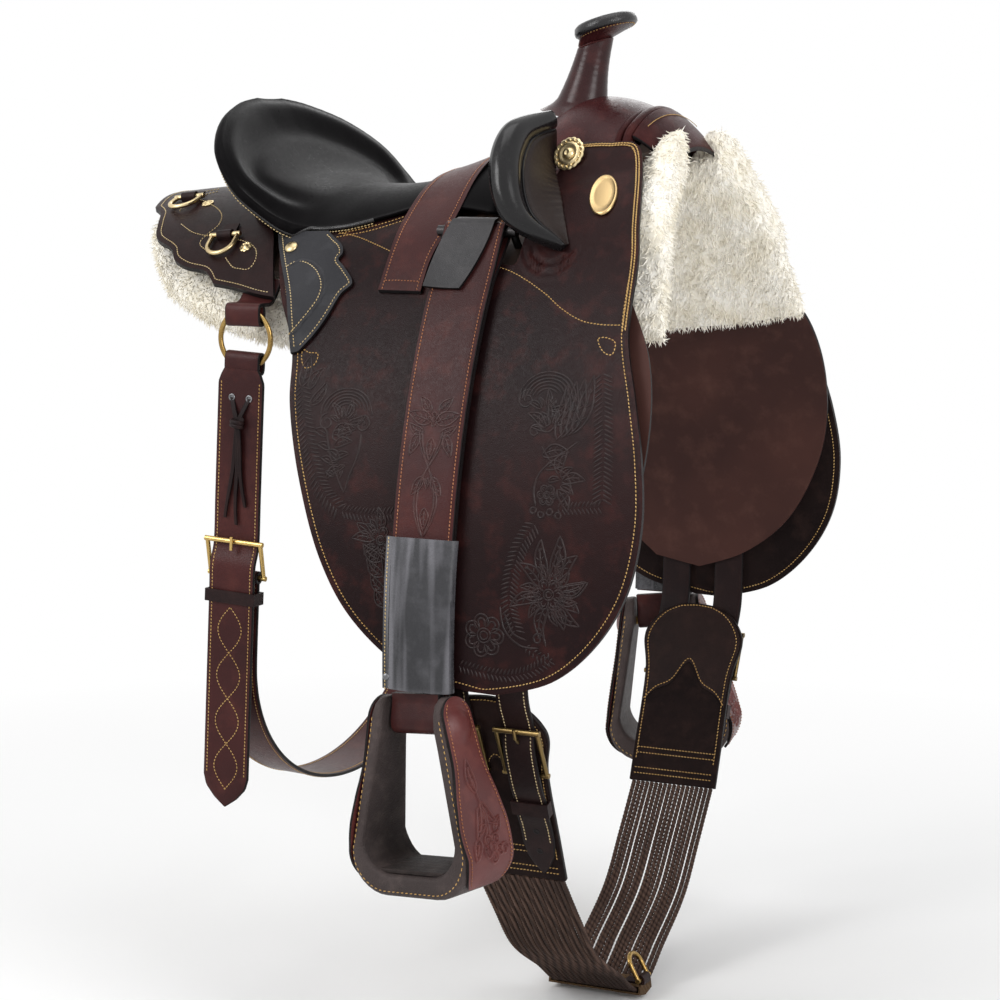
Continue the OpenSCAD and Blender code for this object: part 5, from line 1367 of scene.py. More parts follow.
# stirrup leathers: a strap hung double over the bar, a sleeve, a guard tab and a loop round the bolt
leatherPiece = dict(x=100, wide=62, thick=3.5, gap=0.5, barD=10, barZ=8, sectionX=131, low=3.8, clear=0.6,
                    sleeveTop=-258, sleeveFoot=-392, sleeveWall=2.0, boltDrop=32, boltD=9, yaw=12, lean=6,
                    sewIn=4.5)
lp = leatherPiece
leatherMid = lp["low"] + lp["thick"] + lp["gap"] / 2
leatherIn = lp["low"] + lp["thick"] / 2
leatherOut = lp["low"] + 1.5 * lp["thick"] + lp["gap"]
barAngle = angleAt(lp["sectionX"], lp["barZ"])
barAt = skin(lp["sectionX"], barAngle, leatherMid)[1:]
barDown = unit((skin(lp["sectionX"], barAngle + 0.2) - skin(lp["sectionX"], barAngle - 0.2))[1:])
barOut = np.array([barDown[1], -barDown[0]])
wrapR = lp["barD"] / 2 + lp["clear"] + lp["thick"] / 2
boltAt = np.array([lp["x"], -(backShape["halfWidth"] + leatherMid), lp["sleeveFoot"] - lp["boltDrop"]])
leatherBodies = ("stirrup_leather_right", "stirrup_leather_left")
stirrupBodies = ("stirrup_right", "stirrup_left")


def wrapAt(r, a):
    g = math.radians(a)
    return barAt - r * (barOut * math.cos(g) + barDown * math.sin(g))


def leatherSide(z, d):
    return skinZ(lp["sectionX"], z, d)[..., 1:]


stirrupMatrix = np.array(Matrix.Translation(Vector(boltAt)) @ Matrix.Rotation(math.radians(-lp["yaw"]), 4, "Z")
                         @ Matrix.Rotation(math.radians(-lp["lean"]), 4, "Y"))


def strapSides(path, mid, half, d, sewIn, start=0.0, stop=1.0):
    # sewing rows along both edges of a strap face, between two shares of its length
    p = resample(path, 2.0)
    p = p[int(len(p) * start):int(len(p) * stop)]
    out = pathOut(p)
    nor = np.column_stack([np.zeros(len(p)), out])
    edges = (mid - half + sewIn, mid + half - sewIn)
    return [(np.column_stack([np.full(len(p), x), p + out * d]), nor) for x in edges]


def onLeather(line):
    # (x, z) line laid on the outer face of the stirrup leather
    q = smoothLine(line, 1.6) if len(line) > 2 else resample(line, 1.6)
    a, b = (leatherSide(q[:, 1] - down, leatherOut + lp["thick"] / 2) for down in (0, 1))
    t = unit(b - a)
    return np.column_stack([q[:, 0], a]), np.column_stack([np.zeros(len(q)), t[:, 1], -t[:, 0]])


def strand(wide, top=-166, foot=-257, wave=62, narrowing=0.2):
    # one of the lines that cross down the middle of the leather
    z = np.linspace(top, foot, 40)
    shrink = 1 - narrowing * (z - top) / (foot - top)
    return [np.column_stack([lp["x"] + wide * np.cos(np.pi * (z - top) / wave) * shrink, z])]


leatherTooling = [(bloom, (100, -156), 6, 4)]
leatherTooling += [(leaf, (100, a), (100, b), 0.2) for a, b in ((-172, -192), (-232, -252), (-206, -216))]
for k in (-1, 1):
    leatherTooling += [(leaf, (100 + 2 * k, -158), (100 + 26 * k, -151), 0.24),
                       (leaf, (100 + 4 * k, -150), (100 + 16 * k, -137), 0.24),
                       (leaf, (100 + 8 * k, -168), (100 + 24 * k, -160), 0.2, -0.1 * k),
                       (leaf, (100 + 13 * k, -168), (100 + 21 * k, -188), 0.2),
                       (leaf, (100 + 4 * k, -205), (100 + 15 * k, -222), 0.2), (strand, 10 * k), (strand, 13 * k)]


def makeLeathers():
    x, wide, thick = lp["x"], lp["wide"] / 2, lp["thick"]
    zs = np.linspace(-34, lp["sleeveFoot"] - 1.5, 14)
    down = leatherSide(zs, leatherOut)
    path = np.concatenate([leatherSide(zs[::-1], leatherIn), [wrapAt(wrapR, a) for a in range(0, 181, 12)], down])
    strap = strapObject("stirrupLeatherRight", path, x, wide, thick, 4)
    bothSides(strap, "tan_strap_leather", leatherBodies, ["stirrup_leather"])
    outer = smoothLine(np.concatenate([[wrapAt(wrapR, 150), wrapAt(wrapR, 180)], down]), 2.0)
    rows = strapSides(outer, x, wide, thick / 2, lp["sewIn"])
    sewBoth("leatherStitch", rows, orangeThread, "tan_strap_leather", leatherBodies)
    tooled = [onLeather(line) for line in drawn(leatherTooling)]
    bothSides(ridgeObject("leatherToolingRight", tooled, strapTooled, 2.0, 0.8), "tan_strap_leather",
              leatherBodies)
    # loop round the bolt
    loopHalf = wide - 3
    r = lp["boltD"] / 2 + lp["clear"] + thick / 2
    pinch = (thick + lp["gap"]) / 2
    top = lp["boltDrop"] - 0.6 - loopHalf * math.sin(math.radians(lp["lean"]))
    turn = np.radians(range(180, 361, 12))
    loop = [[-pinch, top], [-pinch - 0.4, top - 8], [-r, 4], *zip(r * np.cos(turn), r * np.sin(turn)),
            [r, 4], [pinch + 0.4, top - 8], [pinch, top]]
    obj = moved(strapObject("boltLoopRight", loop, 0, loopHalf, thick, 2), stirrupMatrix)
    bothSides(obj, "tan_strap_leather", leatherBodies)


def makeSleeves():
    half, wall = lp["thick"] + lp["gap"] / 2 + 0.8, lp["sleeveWall"]
    wide = lp["wide"] / 2 + 0.8
    p = leatherSide(np.linspace(lp["sleeveTop"], lp["sleeveFoot"], 40), leatherMid)
    out = pathOut(p)
    rings, inner = [], []
    for i in range(40):
        flare = 1.2 * math.exp(-i / 3) + 0.8 * math.exp(-(39 - i) / 3)
        box = strapSection(2 * (wide + wall) + flare, -half - wall, half + wall + flare * 0.4, 6.0, 16)
        crown = np.maximum(0, 1 - (box[:, 0] / wide) ** 2) * 4.6
        fold = 1.8 * np.exp(-((box[:, 0] - 15 - 0.06 * i) / 5) ** 2)
        box[:, 1] += (crown + fold + 0.7 * np.sin(box[:, 0] * 0.14 + i * 0.06 + 1)) * (box[:, 1] > half)
        hole = strapSection(2 * wide, -half, half, 2.4, 16)
        for b, into in ((box, rings), (hole, inner)):
            into.append(np.column_stack([lp["x"] + b[:, 0], p[i] + out[i] * b[:, 1:2]]))
    obj = loftObject("sleeveRight", rings + inner[::-1] + rings[:1], [charcoalLeather], caps=False)
    bothSides(obj, "charcoal_leather", leatherBodies, ["leather_sleeve"])
    # sewn lip along the rear edge, with a rivet through its foot
    rear, face = lp["x"] - wide - wall, half + wall
    lip = strapObject("sleeveLipRight", p, rear + 2.5, 3.5, 3.6, 4, charcoalLeather, lift=face - 1.4, r=0.8)
    bothSides(lip, "charcoal_leather", leatherBodies)
    rows = strapSides(p, rear + 2, 0, face + 0.5, 0)[:1]
    sewBoth("sleeveStitch", rows, creamThread, "charcoal_leather", leatherBodies)
    m = standOn((rear + 3, *(p[-4] + out[-4] * (face + 0.4))), (0, *out[-4]))
    rivet = turned([(3.4, -0.4), (3.3, 0.5), (2.6, 1.1), (1.4, 1.5), (0.3, 1.6)], m, 24)
    bothSides(loftObject("sleeveRivetRight", rivet, [steelMetal], sharp=60), "steel", leatherBodies)


tabPiece = dict(x0=66, x1=122, thick=3.0, footZ=-46, clear=0.8)


def makeTabs():
    t = tabPiece
    off = lp["thick"] / 2 + t["clear"] + t["thick"] / 2
    path = [wrapAt(wrapR + off, a) for a in range(130, 181, 10)]
    path += [*leatherSide(np.array([-34, t["footZ"]]), leatherOut + off)]
    p = resample(smoothLine(path, 1.0), 2.0)
    f = np.linspace(0, 1, len(p))[:, None]
    k = np.linspace(0, 1, 24)
    x0, x1 = t["x0"] + 16 * (1 - f) ** 2, t["x1"] - 20 * f ** 2
    xs = x0 + (x1 - x0) * k
    curl = 3.5 * f ** 2 * ((xs - 93) / 31) ** 2

    def face(d):
        return np.concatenate([xs[..., None], p[:, None] + pathOut(p)[:, None] * (d + curl)[..., None]], -1)

    obj = sheetObject("guardTabRight", face(t["thick"] / 2), face(-t["thick"] / 2), tabLeather, blackEdge,
                      suedeLeather)
    bothSides(obj, "charcoal_leather", leatherBodies, ["guard_tab"])


# stirrups: a padded bow with a tread and tooled side panels
stirrupPiece = dict(wide=135, tall=152, deep=68, wall=14, earIn=30, earOut=38.5, earTop=26, earRound=21, corner=38,
                    foot=132, pad=5.0, panelT=3.0, treadT=5.0)
sp = stirrupPiece
cornerZ = sp["corner"] - sp["tall"]
sideLean = math.atan((sp["wide"] / 2 - sp["earOut"]) / (sp["earTop"] - cornerZ))


def bowDepth(z):
    # half depth of the bow at a level
    return np.interp(z, [-sp["tall"], -130, -20, 11, 20, 25, 26], [34, 34, 22, 19.5, 16, 9, 5])


def bowStations():
    # matching outer and inner points from the right ear down to the middle of the foot
    inR = sp["corner"] - 8
    inX, inZ = sp["wide"] / 2 - sp["wall"] - inR, -sp["foot"] + inR
    outX = sp["wide"] / 2 - sp["corner"]
    pts = []
    for z in np.concatenate([[25.9, 25, 23], np.linspace(20, 0, 6)]):
        pts.append(((sp["earOut"] + (sp["earTop"] - z) * math.tan(sideLean), z), (sp["earIn"], z)))
    for k in np.linspace(0, 1, 16)[1:]:
        zo, zi = cornerZ * k, inZ * k
        pts.append(((sp["earOut"] + (sp["earTop"] - zo) * math.tan(sideLean), zo),
                    (sp["earIn"] + (inX + inR - sp["earIn"]) * k, zi)))
    for a in np.radians(np.linspace(0, -90, 9)[1:]):
        pts.append(((outX + sp["corner"] * math.cos(a), cornerZ + sp["corner"] * math.sin(a)),
                    (inX + inR * math.cos(a), inZ + inR * math.sin(a))))
    for k in np.linspace(1, 0, 7)[1:]:
        pts.append(((outX * k, -sp["tall"]), (inX * k, -sp["foot"])))
    return pts


def makeStirrups():
    right = np.array(bowStations())
    both = np.concatenate([right, right[::-1][1:] * np.array([-1, 1])])
    rings = []
    for o, i in both:
        box = padSection(np.linalg.norm(o - i), float(bowDepth(o[1])), sp["pad"])
        xz = (o + i) / 2 + unit(o - i) * box[:, 0:1]
        rings.append(placed(stirrupMatrix, np.column_stack([xz[:, 0], box[:, 1], xz[:, 1]])))
    bow = loftObject("stirrupBowRight", rings, [stirrupLeather], sharp=60)
    bothSides(bow, "stirrup_leather_black", stirrupBodies, ["stirrup_frame"])
    # sewing near both rims of the bow
    rows = []
    o, i = both[6:-6].transpose(1, 0, 2)
    q = o + (i - o) * 0.24
    for front in (-1, 1):
        line = smoothLine(np.column_stack([q[:, 0], front * bowDepth(o[:, 1]), q[:, 1]]), 2.0)
        rows.append(facing(placed(stirrupMatrix, line), stirrupMatrix[:3, 1] * front))
    sewBoth("bowStitch", rows, goldThread, "stirrup_leather_black", stirrupBodies, pitch=5.2, length=3.4)
    # crowned tread with shallow ribs
    half, deep = sp["wide"] / 2 - sp["wall"] - 16, sp["deep"] / 2 - 5
    x, y = np.meshgrid(np.linspace(-half, half, 50), np.linspace(-deep, deep, 40), indexing="ij")
    rib = 0.2 * np.abs(np.sin(y * math.pi / 9)) + 1.2 * np.cos(x / half * 1.5) * np.cos(y / deep * 1.5)
    low = 0 * x - sp["foot"] + 0.4
    faces = [placed(stirrupMatrix, np.stack([x, y, z], -1)) for z in (low + sp["treadT"] - 1.2 + rib, low)]
    tread = sheetObject("treadRight", *faces, treadLeather, edgeRound=0.8)
    bothSides(tread, "stirrup_leather_black", stirrupBodies, ["stirrup_tread"])


panelShape = dict(half=[19, 19.5, 20, 21, 24, 28, 31, 33.5, 33.5, 32], round=30, endHalf=21, boltCover=5.0,
                  coverWide=13)


def sidePoint(s, w, d, side):
    # point of an outer side panel: s down from its top, w across, d out from the bow
    c, sn = math.cos(sideLean), math.sin(sideLean)
    total = (sp["earTop"] - cornerZ) / c
    a = np.maximum(0, s - total) / sp["corner"]  # turn round the lower corner
    straight = np.minimum(s, total)
    x = sp["earOut"] + straight * sn + (0.4 + d) * np.where(a > 0, np.cos(a), c)
    z = sp["earTop"] - straight * c + (0.4 + d) * np.where(a > 0, -np.sin(a), sn)
    x, z = x - sp["corner"] * (1 - np.cos(a)), z - sp["corner"] * np.sin(a)
    return np.stack(np.broadcast_arrays(side * x, w, z), -1)


def panelHalf(s, total):
    rs = sp["earRound"] - 2
    body = spline(panelShape["half"], np.clip((s - rs) / (total - rs), 0, 1))
    cap = np.sqrt(np.maximum(0, rs ** 2 - (rs - np.minimum(s, rs)) ** 2))
    past = np.clip((s - total) / panelShape["round"], 0, 1)
    body = body - (body - panelShape["endHalf"]) * past ** 2.5
    return np.where(s < rs, cap, body)


panelTooling = [(leaf, (88, -2), (56, -5), 0.17, 0.06), (bloom, (138, 4), 13, 5),
                (leaf, (96, 0), (120, 18), 0.18, -0.12), (leaf, (100, -2), (128, -15), 0.18, 0.12),
                (plain, [(74, -3), (92, -1), (108, 4), (126, 3)]), (scroll, (120, -4), 6, 0, 1.3),
                (leaf, (126, 10), (112, 22), 0.22), (leaf, (128, -12), (146, -22), 0.22),
                (scroll, (142, 19), 6, 90, 1.3)]


def makeStirrupPanels():
    total = (sp["earTop"] - cornerZ) / math.cos(sideLean)
    ear, thick = sp["earRound"] - 2, sp["panelT"]
    s = np.concatenate([ear * (1 - np.cos(np.linspace(0.12, np.pi / 2, 14))), np.linspace(ear, total, 56)[1:],
                        total + np.linspace(0, panelShape["round"], 12)[1:]])
    w = np.linspace(-1, 1, 30)
    half = panelHalf(s, total)
    down, across = s[:, None], half[:, None] * w
    boltS = sp["earTop"] / math.cos(sideLean)
    away = ((down - boltS) ** 2 + across ** 2) / panelShape["coverWide"] ** 2
    hug = panelShape["boltCover"] * np.exp(-away ** 2) - 0.5 * w ** 4
    for side, tag in ((1, "Front"), (-1, "Rear")):
        def onPanel(s, w, d):
            return placed(stirrupMatrix, sidePoint(s, w, d, side))

        high, low = onPanel(down, across, thick + hug), onPanel(down, across, 0.0)
        obj = sheetObject("stirrupPanel" + tag + "Right", high, low, panelLeather, blackEdge, edgeRound=0.9)
        bothSides(obj, "tan_strap_leather", stirrupBodies, ["stirrup_panels"] if side == 1 else [])
        out = stirrupMatrix[:3, :3] @ np.array([side * math.cos(sideLean), 0, math.sin(sideLean)])
        ridges = []
        for line in drawn(panelTooling):
            q = smoothLine(line, 1.6)
            ridges.append(facing(onPanel(q[:, 0], q[:, 1], thick - 0.05), out))
        tool = ridgeObject("panelTooling" + tag + "Right", ridges, panelLeather, 2.6, 1.6)
        bothSides(tool, "tan_strap_leather", stirrupBodies)
        edges = [onPanel(s[6:-2], sign * (half[6:-2] - 3.5), thick) for sign in (-1, 1)]
        rows = [facing(resample(smoothLine(line, 2.0), 2.0), out) for line in edges]
        sewBoth("panelStitch" + tag, rows, orangeThread, "tan_strap_leather", stirrupBodies)


# girth: buckled ends and the strings between them
girthPiece = dict(x=152, top=(-256, -398), lean=21, half=49, long=196, thick=5, ear=7, billetW=32, pitch=60,
                  billetT=3.6, tipS=186, keeperS=112, keeperT=1.8, stringD=4.6, strings=18,
                  lowZ=-746, wireD=5, gap=0.8)
gp = girthPiece
leanC, leanS = math.cos(math.radians(gp["lean"])), math.sin(math.radians(gp["lean"]))


def girthYz(s, w):
    y, z = gp["top"][0] + s * leanS - w * leanC, gp["top"][1] - s * leanC - w * leanS
    return np.stack(np.broadcast_arrays(y, z), -1)


def girthPlace(a, b, h):
    return np.column_stack([gp["x"] + a, girthYz(-b, h)])


girthOut = np.array([0, -leanC, -leanS])


def girthOutline():
    h, e, n = gp["half"], gp["ear"], -gp["long"]
    right = [(h, n), (h, n + 40), (h, -80), (h + e, -42), (h + 2, -24), (h - 12, -9), (h - 30, -1)]
    pts = smoothLine(right, 3.0)
    left = pts[::-1] * np.array([-1, 1])
    mid = smoothLine([(h - 30, -1), (0, 0.5), (-h + 30, -1)], 4.0)
    foot = resample([(-h, n), (h, n)], 4.0)
    return np.concatenate([pts, mid[1:-1], left, foot[1:-1]])


def makeGirthEnds():
    outline = girthOutline()
    thick = gp["thick"]
    obj = plateObject("girthEndRight", outline, 0, thick, girthPlace, [suedeLeather, blackEdge], 1.2)
    bothSides(obj, "flap_leather", nodes=["girth_end"])
    # raised panel on the inner and outer face, above the sewn foot
    h, n = gp["half"], -gp["long"]
    small = outline * np.array([0.965, 1.0])
    small[:, 1] = np.clip(small[:, 1] - 1.5, -112, -3)
    arch = [(-0.965, -112), (-0.72, -98), (-0.36, -88), (0, -64), (0.36, -88), (0.72, -98), (0.965, -112)]
    arch = smoothLine([(h * a, b) for a, b in arch], 3.0)
    face = np.concatenate([small[small[:, 1] > -111.9], arch[1:-1]])
    mats = [girthPanelLeather, blackEdge]
    for low, high, tag in ((-1.1, -0.1, "Inner"), (thick + 0.05, thick + 0.6, "Outer")):
        panel = plateObject("girthPanel" + tag + "Right", face, low, high, girthPlace, mats, 0.3)
        bothSides(panel, "flap_leather")
    rows = []
    ring = np.concatenate([outline, outline[:1]])
    ring = ring[ring[:, 1] > n + 24]
    for sign, onFace, onPanel in ((-1, -0.05, -1.15), (1, thick + 0.05, thick + 0.6)):
        edge = girthPlace(ring[:, 0] * 0.9, np.clip(ring[:, 1] * 0.985 - 2.5, n + 4, 0), onPanel)
        lines = [resample(edge, 2), girthPlace(arch[:, 0] * 0.97, arch[:, 1] + 4, onPanel)]
        for b in (n + 8, n + 14, n + 30, n + 36):
            lines.append(girthPlace(np.linspace(-h + 4, h - 4, 30), np.full(30, b), onFace))
        rows += [facing(line, girthOut * sign) for line in lines]
    sewBoth("girthStitch", rows, goldThread, "flap_leather")


billetLie = gp["thick"] + gp["gap"] + gp["billetT"] / 2
billetHump = gp["thick"] + gp["wireD"] + 2 * gp["gap"] + gp["billetT"] / 2
billetKeep = gp["thick"] + gp["keeperT"] + 2 * gp["gap"] + gp["billetT"] / 2


def billetPath(x):
    zs = np.arange(-30, -343, -24.0)
    upper = skinZ(x, zs, -8.25)[:, 1:]
    k = gp["keeperS"]
    lower = [(-8, billetLie + 1), (20, billetLie), (30, billetLie), (48, billetHump), (84, billetHump),
             (k - 8, billetKeep), (k + 8, billetKeep), (140, billetLie), (gp["tipS"], billetLie)]
    return np.concatenate([upper, [girthYz(*q) for q in lower]])


def makeBillets():
    w, thick = gp["billetW"] / 2, gp["billetT"]
    tip = ([0, 0.94, 0.965, 0.985, 1.0], [w, w, w * 0.86, w * 0.5, 0.6])
    for k, tag in ((-0.5, "Rear"), (0.5, "Front")):
        x = gp["x"] + k * gp["pitch"]
        path = smoothLine(billetPath(x), 3.0)
        obj = strapObject("billet" + tag + "Right", path, x, w, thick, 3, billetLeather, tip)
        bothSides(obj, "flap_leather", nodes=["billets"] if k > 0 else [])
        rows = strapSides(path, x, w, thick / 2, 3.6, 0, 0.94)
        sewBoth("billetStitch" + tag, rows, creamThread, "flap_leather")
        # punched holes with a pressed ring
        run = resample(path, 1.0)
        out = pathOut(run)
        holes = []
        for i in range(len(run) - 26, len(run) - 26 - 7 * 22, -22):
            if abs(run[i][1] - girthYz(60, billetHump)[1]) >= 34:
                m = standOn((x, *(run[i] + out[i] * thick / 2)), (0, *out[i]))
                holes.append(turned([(3.4, -0.3), (3.1, 0.16), (2.5, 0.2), (2.1, 0.06), (0.2, 0.03)], m, 20))
        bothSides(loftMany("billetHoles" + tag + "Right", holes, blackEdge, 60), "flap_leather")


stringEnd = girthYz(gp["long"] + gp["gap"], gp["thick"] / 2)
stringLow = gp["lowZ"] + gp["stringD"] / 2
stringFall = [[1, 0], [0.8, 0.3], [0.6, 0.58], [0.31, 0.8], [0, 1], [-0.31, 0.8], [-0.6, 0.58], [-0.8, 0.3],
              [-1, 0]]


def stringLine(u):
    f = spline(stringFall, u)
    return np.stack([stringEnd[0] * f[..., 0], stringEnd[1] + (stringLow - stringEnd[1]) * f[..., 1]], -1)


def makeStrings():
    n = gp["strings"]
    pitch = (2 * gp["half"] - 6 - gp["stringD"]) / (n - 1)
    u = np.linspace(0, 1, 520)
    yz = stringLine(u)
    near = np.sin(np.pi * u) * (1 - np.exp(-((u - 0.5) / 0.05) ** 2))
    draw = np.random.default_rng(5)
    stacks = []
    for i in range(n):
        sway = draw.uniform(-1, 1, 4)
        x = gp["x"] + (i - (n - 1) / 2) * pitch
        dx = near * (0.3 * sway[0] + 0.5 * sway[3] * np.sin(2 * np.pi * u + sway[1] * 3) - 0.5 * (i % 4 - 1.5))
        # braided outline: the radius swells where strands cross
        r = gp["stringD"] / 2 * (1.0 + 0.1 * np.cos(u * 2 * np.pi * 124 + sway[2] * 3))
        stacks.append(tubeRings(np.column_stack([x + dx, yz]), r, 8, (1, 0, 0)))
    dress(loftMany("girthStrings", stacks, stringCord, 80), "saddle", "string_cord", "girth_strings")


# rear cinch, hung from two rings and leaning back a little
cinchPiece = dict(x=-128, wide=50, lean=3, ringY=206, ringZ=-90, ringR=27.5, wire=5, hang=38, buckleZ=-284,
                  frameH=34, tipZ=-546, lowZ=-555, bendZ=-400, thick=3.5, clear=0.6)
cp = cinchPiece
cinchFoot = cp["buckleZ"] - cp["frameH"]
loopY = cp["wire"] + 2 * cp["clear"]
cinchBilletY = -cp["ringY"] - loopY / 2 - cp["thick"] / 2
cinchUnderY = -cp["ringY"] - cp["thick"] / 2
tailY = cinchUnderY - 2.5 - cp["clear"] - cp["thick"] - cp["clear"] - cp["thick"] / 2
cinchLean = Matrix.Rotation(math.radians(cp["lean"]), 4, "Y")
cinchMatrix = np.array(Matrix.Translation((cp["x"], 0, cp["ringZ"])) @ cinchLean
                       @ Matrix.Translation((-cp["x"], 0, -cp["ringZ"])))


def onCinch(obj, slot, *nodes):
    return dress(moved(obj, cinchMatrix), "rear_cinch", slot, *nodes)


def sewCinch(name, rows):
    rows = [(placed(cinchMatrix, p), n @ cinchMatrix[:3, :3].T) for p, n in rows]
    dress(stitchObject(name, rows, goldThread), "rear_cinch", "tan_strap_leather")


def squared(v):
    return np.sign(v) * np.abs(v) ** 0.6


def ringLoop(name, up, side):
    # strap loop round the ring wire
    w, half, room = cp["hang"], cp["thick"] / 2, cp["wire"] / 2 + cp["clear"]
    high = cp["ringR"] + room + half
    low = math.sqrt((cp["ringR"] - room) ** 2 - w * w / 4) - half
    g = np.radians(np.linspace(0, 360, 40))
    path = np.column_stack([side * cp["ringY"] + (loopY / 2 + half) * squared(np.cos(g)),
                            cp["ringZ"] + up * (high + low) / 2 + (high - low) / 2 * squared(np.sin(g))])
    return strapObject(name, path, cp["x"], w / 2, cp["thick"], 2)


def makeCinch():
    x, w, thick, half = cp["x"], cp["wide"] / 2, cp["thick"], cp["thick"] / 2
    hide = "tan_strap_leather"
    path = smoothLine([(cinchBilletY, cp["ringZ"] - cp["ringR"] - 1), (cinchBilletY, -180), (cinchBilletY, -240),
                       (cinchBilletY, cp["buckleZ"] - 2), (tailY, cinchFoot + 10), (tailY, cinchFoot - 20),
                       (tailY, -440), (tailY, cp["tipZ"])], 3.0)
    tip = ([0, 0.012, 0.03, 0.93, 0.955, 0.98, 1.0], [19, 22, w, w, w * 0.88, w * 0.5, 0.8])
    onCinch(strapObject("cinchBillet", path, x, w, thick, 3, halves=tip), hide, "cinch_billet")
    onCinch(ringLoop("cinchBilletLoop", -1, -1), hide)
    onCinch(ringLoop("cinchStrapLoop", -1, 1), hide)
    rows = strapSides(path, x, w, half, 4.0, 0.03, 0.93)
    # figure-of-eight sewing round the punched holes
    z = np.linspace(cinchFoot - 30, cp["tipZ"] + 18, 160)
    for wide in (-13, 13):
        dx = wide * np.sin(np.pi * (z - cinchFoot + 30) / 45)
        rows.append(facing(np.column_stack([x + dx, np.full(160, tailY - half), z]), (0, -1.0, 0)))
    sewCinch("cinchStitch", rows)
    # under-strap
    fall = cp["bendZ"] - cp["lowZ"] - half
    turn = np.radians(range(10, 171, 8))
    under = [(cinchUnderY, cinchFoot - 2.5 - cp["clear"] - 1), (cinchUnderY, cp["bendZ"]),
             *zip(cinchUnderY * np.cos(turn), cp["bendZ"] - fall * np.sin(turn)),
             (-cinchUnderY, cp["bendZ"]), (-cinchUnderY, -140), (cp["ringY"], cp["ringZ"] - cp["ringR"] - 5)]
    line = smoothLine(under, 3.0)
    end = ([0, 0.96, 0.985, 1], [w, w, 19, 15])
    onCinch(strapObject("cinchUnderStrap", line, x, w, thick, 4, halves=end), hide, "cinch_strap")
    g = np.radians(np.linspace(0, 360, 40))
    r = 2.5 + cp["clear"] + half
    bar = np.column_stack([cinchUnderY + r * np.cos(g), cinchFoot + r * np.sin(g)])
    onCinch(strapObject("cinchBarLoop", bar, x, w, thick, 1.6), hide)
    rows = [(p, n * sign) for sign in (1, -1) for p, n in strapSides(line, x, w, half * sign, 4.0, 0, 0.95)]
    sewCinch("cinchUnderStitch", rows)
    # hangers from the skirt to the rings
    topZ = cp["ringZ"] + cp["ringR"] + cp["wire"] / 2 + cp["clear"] + half
    d = -flapPiece["thick"] - 0.8 - thick
    run = [(-cp["ringY"], topZ), (-cp["ringY"] + loopY / 2 + 1, topZ), (-188, topZ + 0.5)]
    run += [tuple(skin(x, t, d)[1:]) for t in (41, 38.4)]
    for side, tag, nodes in ((1, "Right", ["cinch_hangers"]), (-1, "Left", [])):
        pts = smoothLine(np.array(run) * np.array([side, 1]), 2.0)
        dress(strapObject("hangerEnd" + tag, pts, x, cp["hang"] / 2, thick, 2), "saddle", hide, *nodes)
        dress(ringLoop("hangerLoop" + tag, 1, -side), "saddle", hide)


# thong: two strands out of eyelets, knotted, with three tails
thongPiece = dict(holeX=(-9, 10), holeZ=-146, knotZ=-170, tails=((-9, 92), (2, 98), (9, 80)), half=2.6, thick=1.8)


def makeThong():
    p, x = thongPiece, cp["x"]
    y = cinchBilletY - cp["thick"] / 2

    def ribbon(name, xs, ys, zs, wide, *nodes):
        top = np.array([np.column_stack([xs + s * wide, ys, zs]) for s in (-1, 0, 1)])
        piece = sheetObject(name, top, top + np.array([0, p["thick"], 0]), billetLeather, blackEdge, edgeRound=0.5)
        onCinch(piece, "seat_leather", *nodes)

    f = np.linspace(0, 1, 30)
    for dx, tag in zip(p["holeX"], "AB"):
        m = standOn((x + dx, y, p["holeZ"]), (0, -1, 0))
        ring = turned([(3.6, -0.4), (3.5, 0.7), (2.9, 1.1), (2.2, 0.8), (1.9, 0.1), (0.2, 0.05)], m, 28)
        onCinch(loftObject("thongEyelet" + tag, ring, [steelMetal], sharp=60), "steel")
        zs = p["holeZ"] + (p["knotZ"] - p["holeZ"]) * f
        ribbon("thongStrand" + tag, x + dx * (1 - f), y - 0.4 - 4 * np.sin(1.6 * f), zs, 2.4)
    for k, (sway, long) in enumerate(p["tails"]):
        xs = x + sway * f ** 0.8 + 2.4 * np.sin(f * 5 + k) * f
        ribbon("thongTail" + "ABC"[k], xs, y - 3.2 - 1.2 * k * (1 - f), p["knotZ"] - long * f, p["half"] - 1.1 * f,
               *(["cinch_thong"] if k == 0 else []))
    a = np.linspace(0, 4.4 * np.pi, 70)
    wrap = np.column_stack([x + 5.2 * np.cos(a), y - 4.6 + 3.2 * np.sin(a), p["knotZ"] + 4 - 0.55 * a])
    onCinch(loftObject("thongKnot", tubeRings(wrap, 2.3, 10, (0, 0, 1)), [billetLeather]), "seat_leather")


# CAD pieces that keep their own shape get these finishes
carried = dict(tree=treeWood, gullet_plate=darkSteel, stirrup_bar_right=darkSteel, stirrup_bar_left=darkSteel,
               dee_chapes=billetLeather, girth_keepers=billetLeather, girth_centre_band=bandThread,
               cinch_keeper=billetLeather, girth_buckles_right=agedBrass, girth_buckles_left=agedBrass,
               cinch_rings=brassMetal, girth_dee=brassMetal, cinch_buckle=brassMetal,
               stirrup_bolt_right=brassMetal, stirrup_bolt_left=brassMetal)
roundings = dict(dee_chapes=0.5, girth_keepers=0.5, girth_centre_band=0.6, cinch_keeper=0.5)


def finishCarried():
    for n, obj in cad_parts.items():
        mat = carried.get(n) or (brightBrass if n.startswith("saddle_dee") else None)
        if mat is None:
            continue
        obj.data.materials.clear()
        obj.data.materials.append(mat)
        if n in roundings:
            bevel(obj, roundings[n], 2, 50)


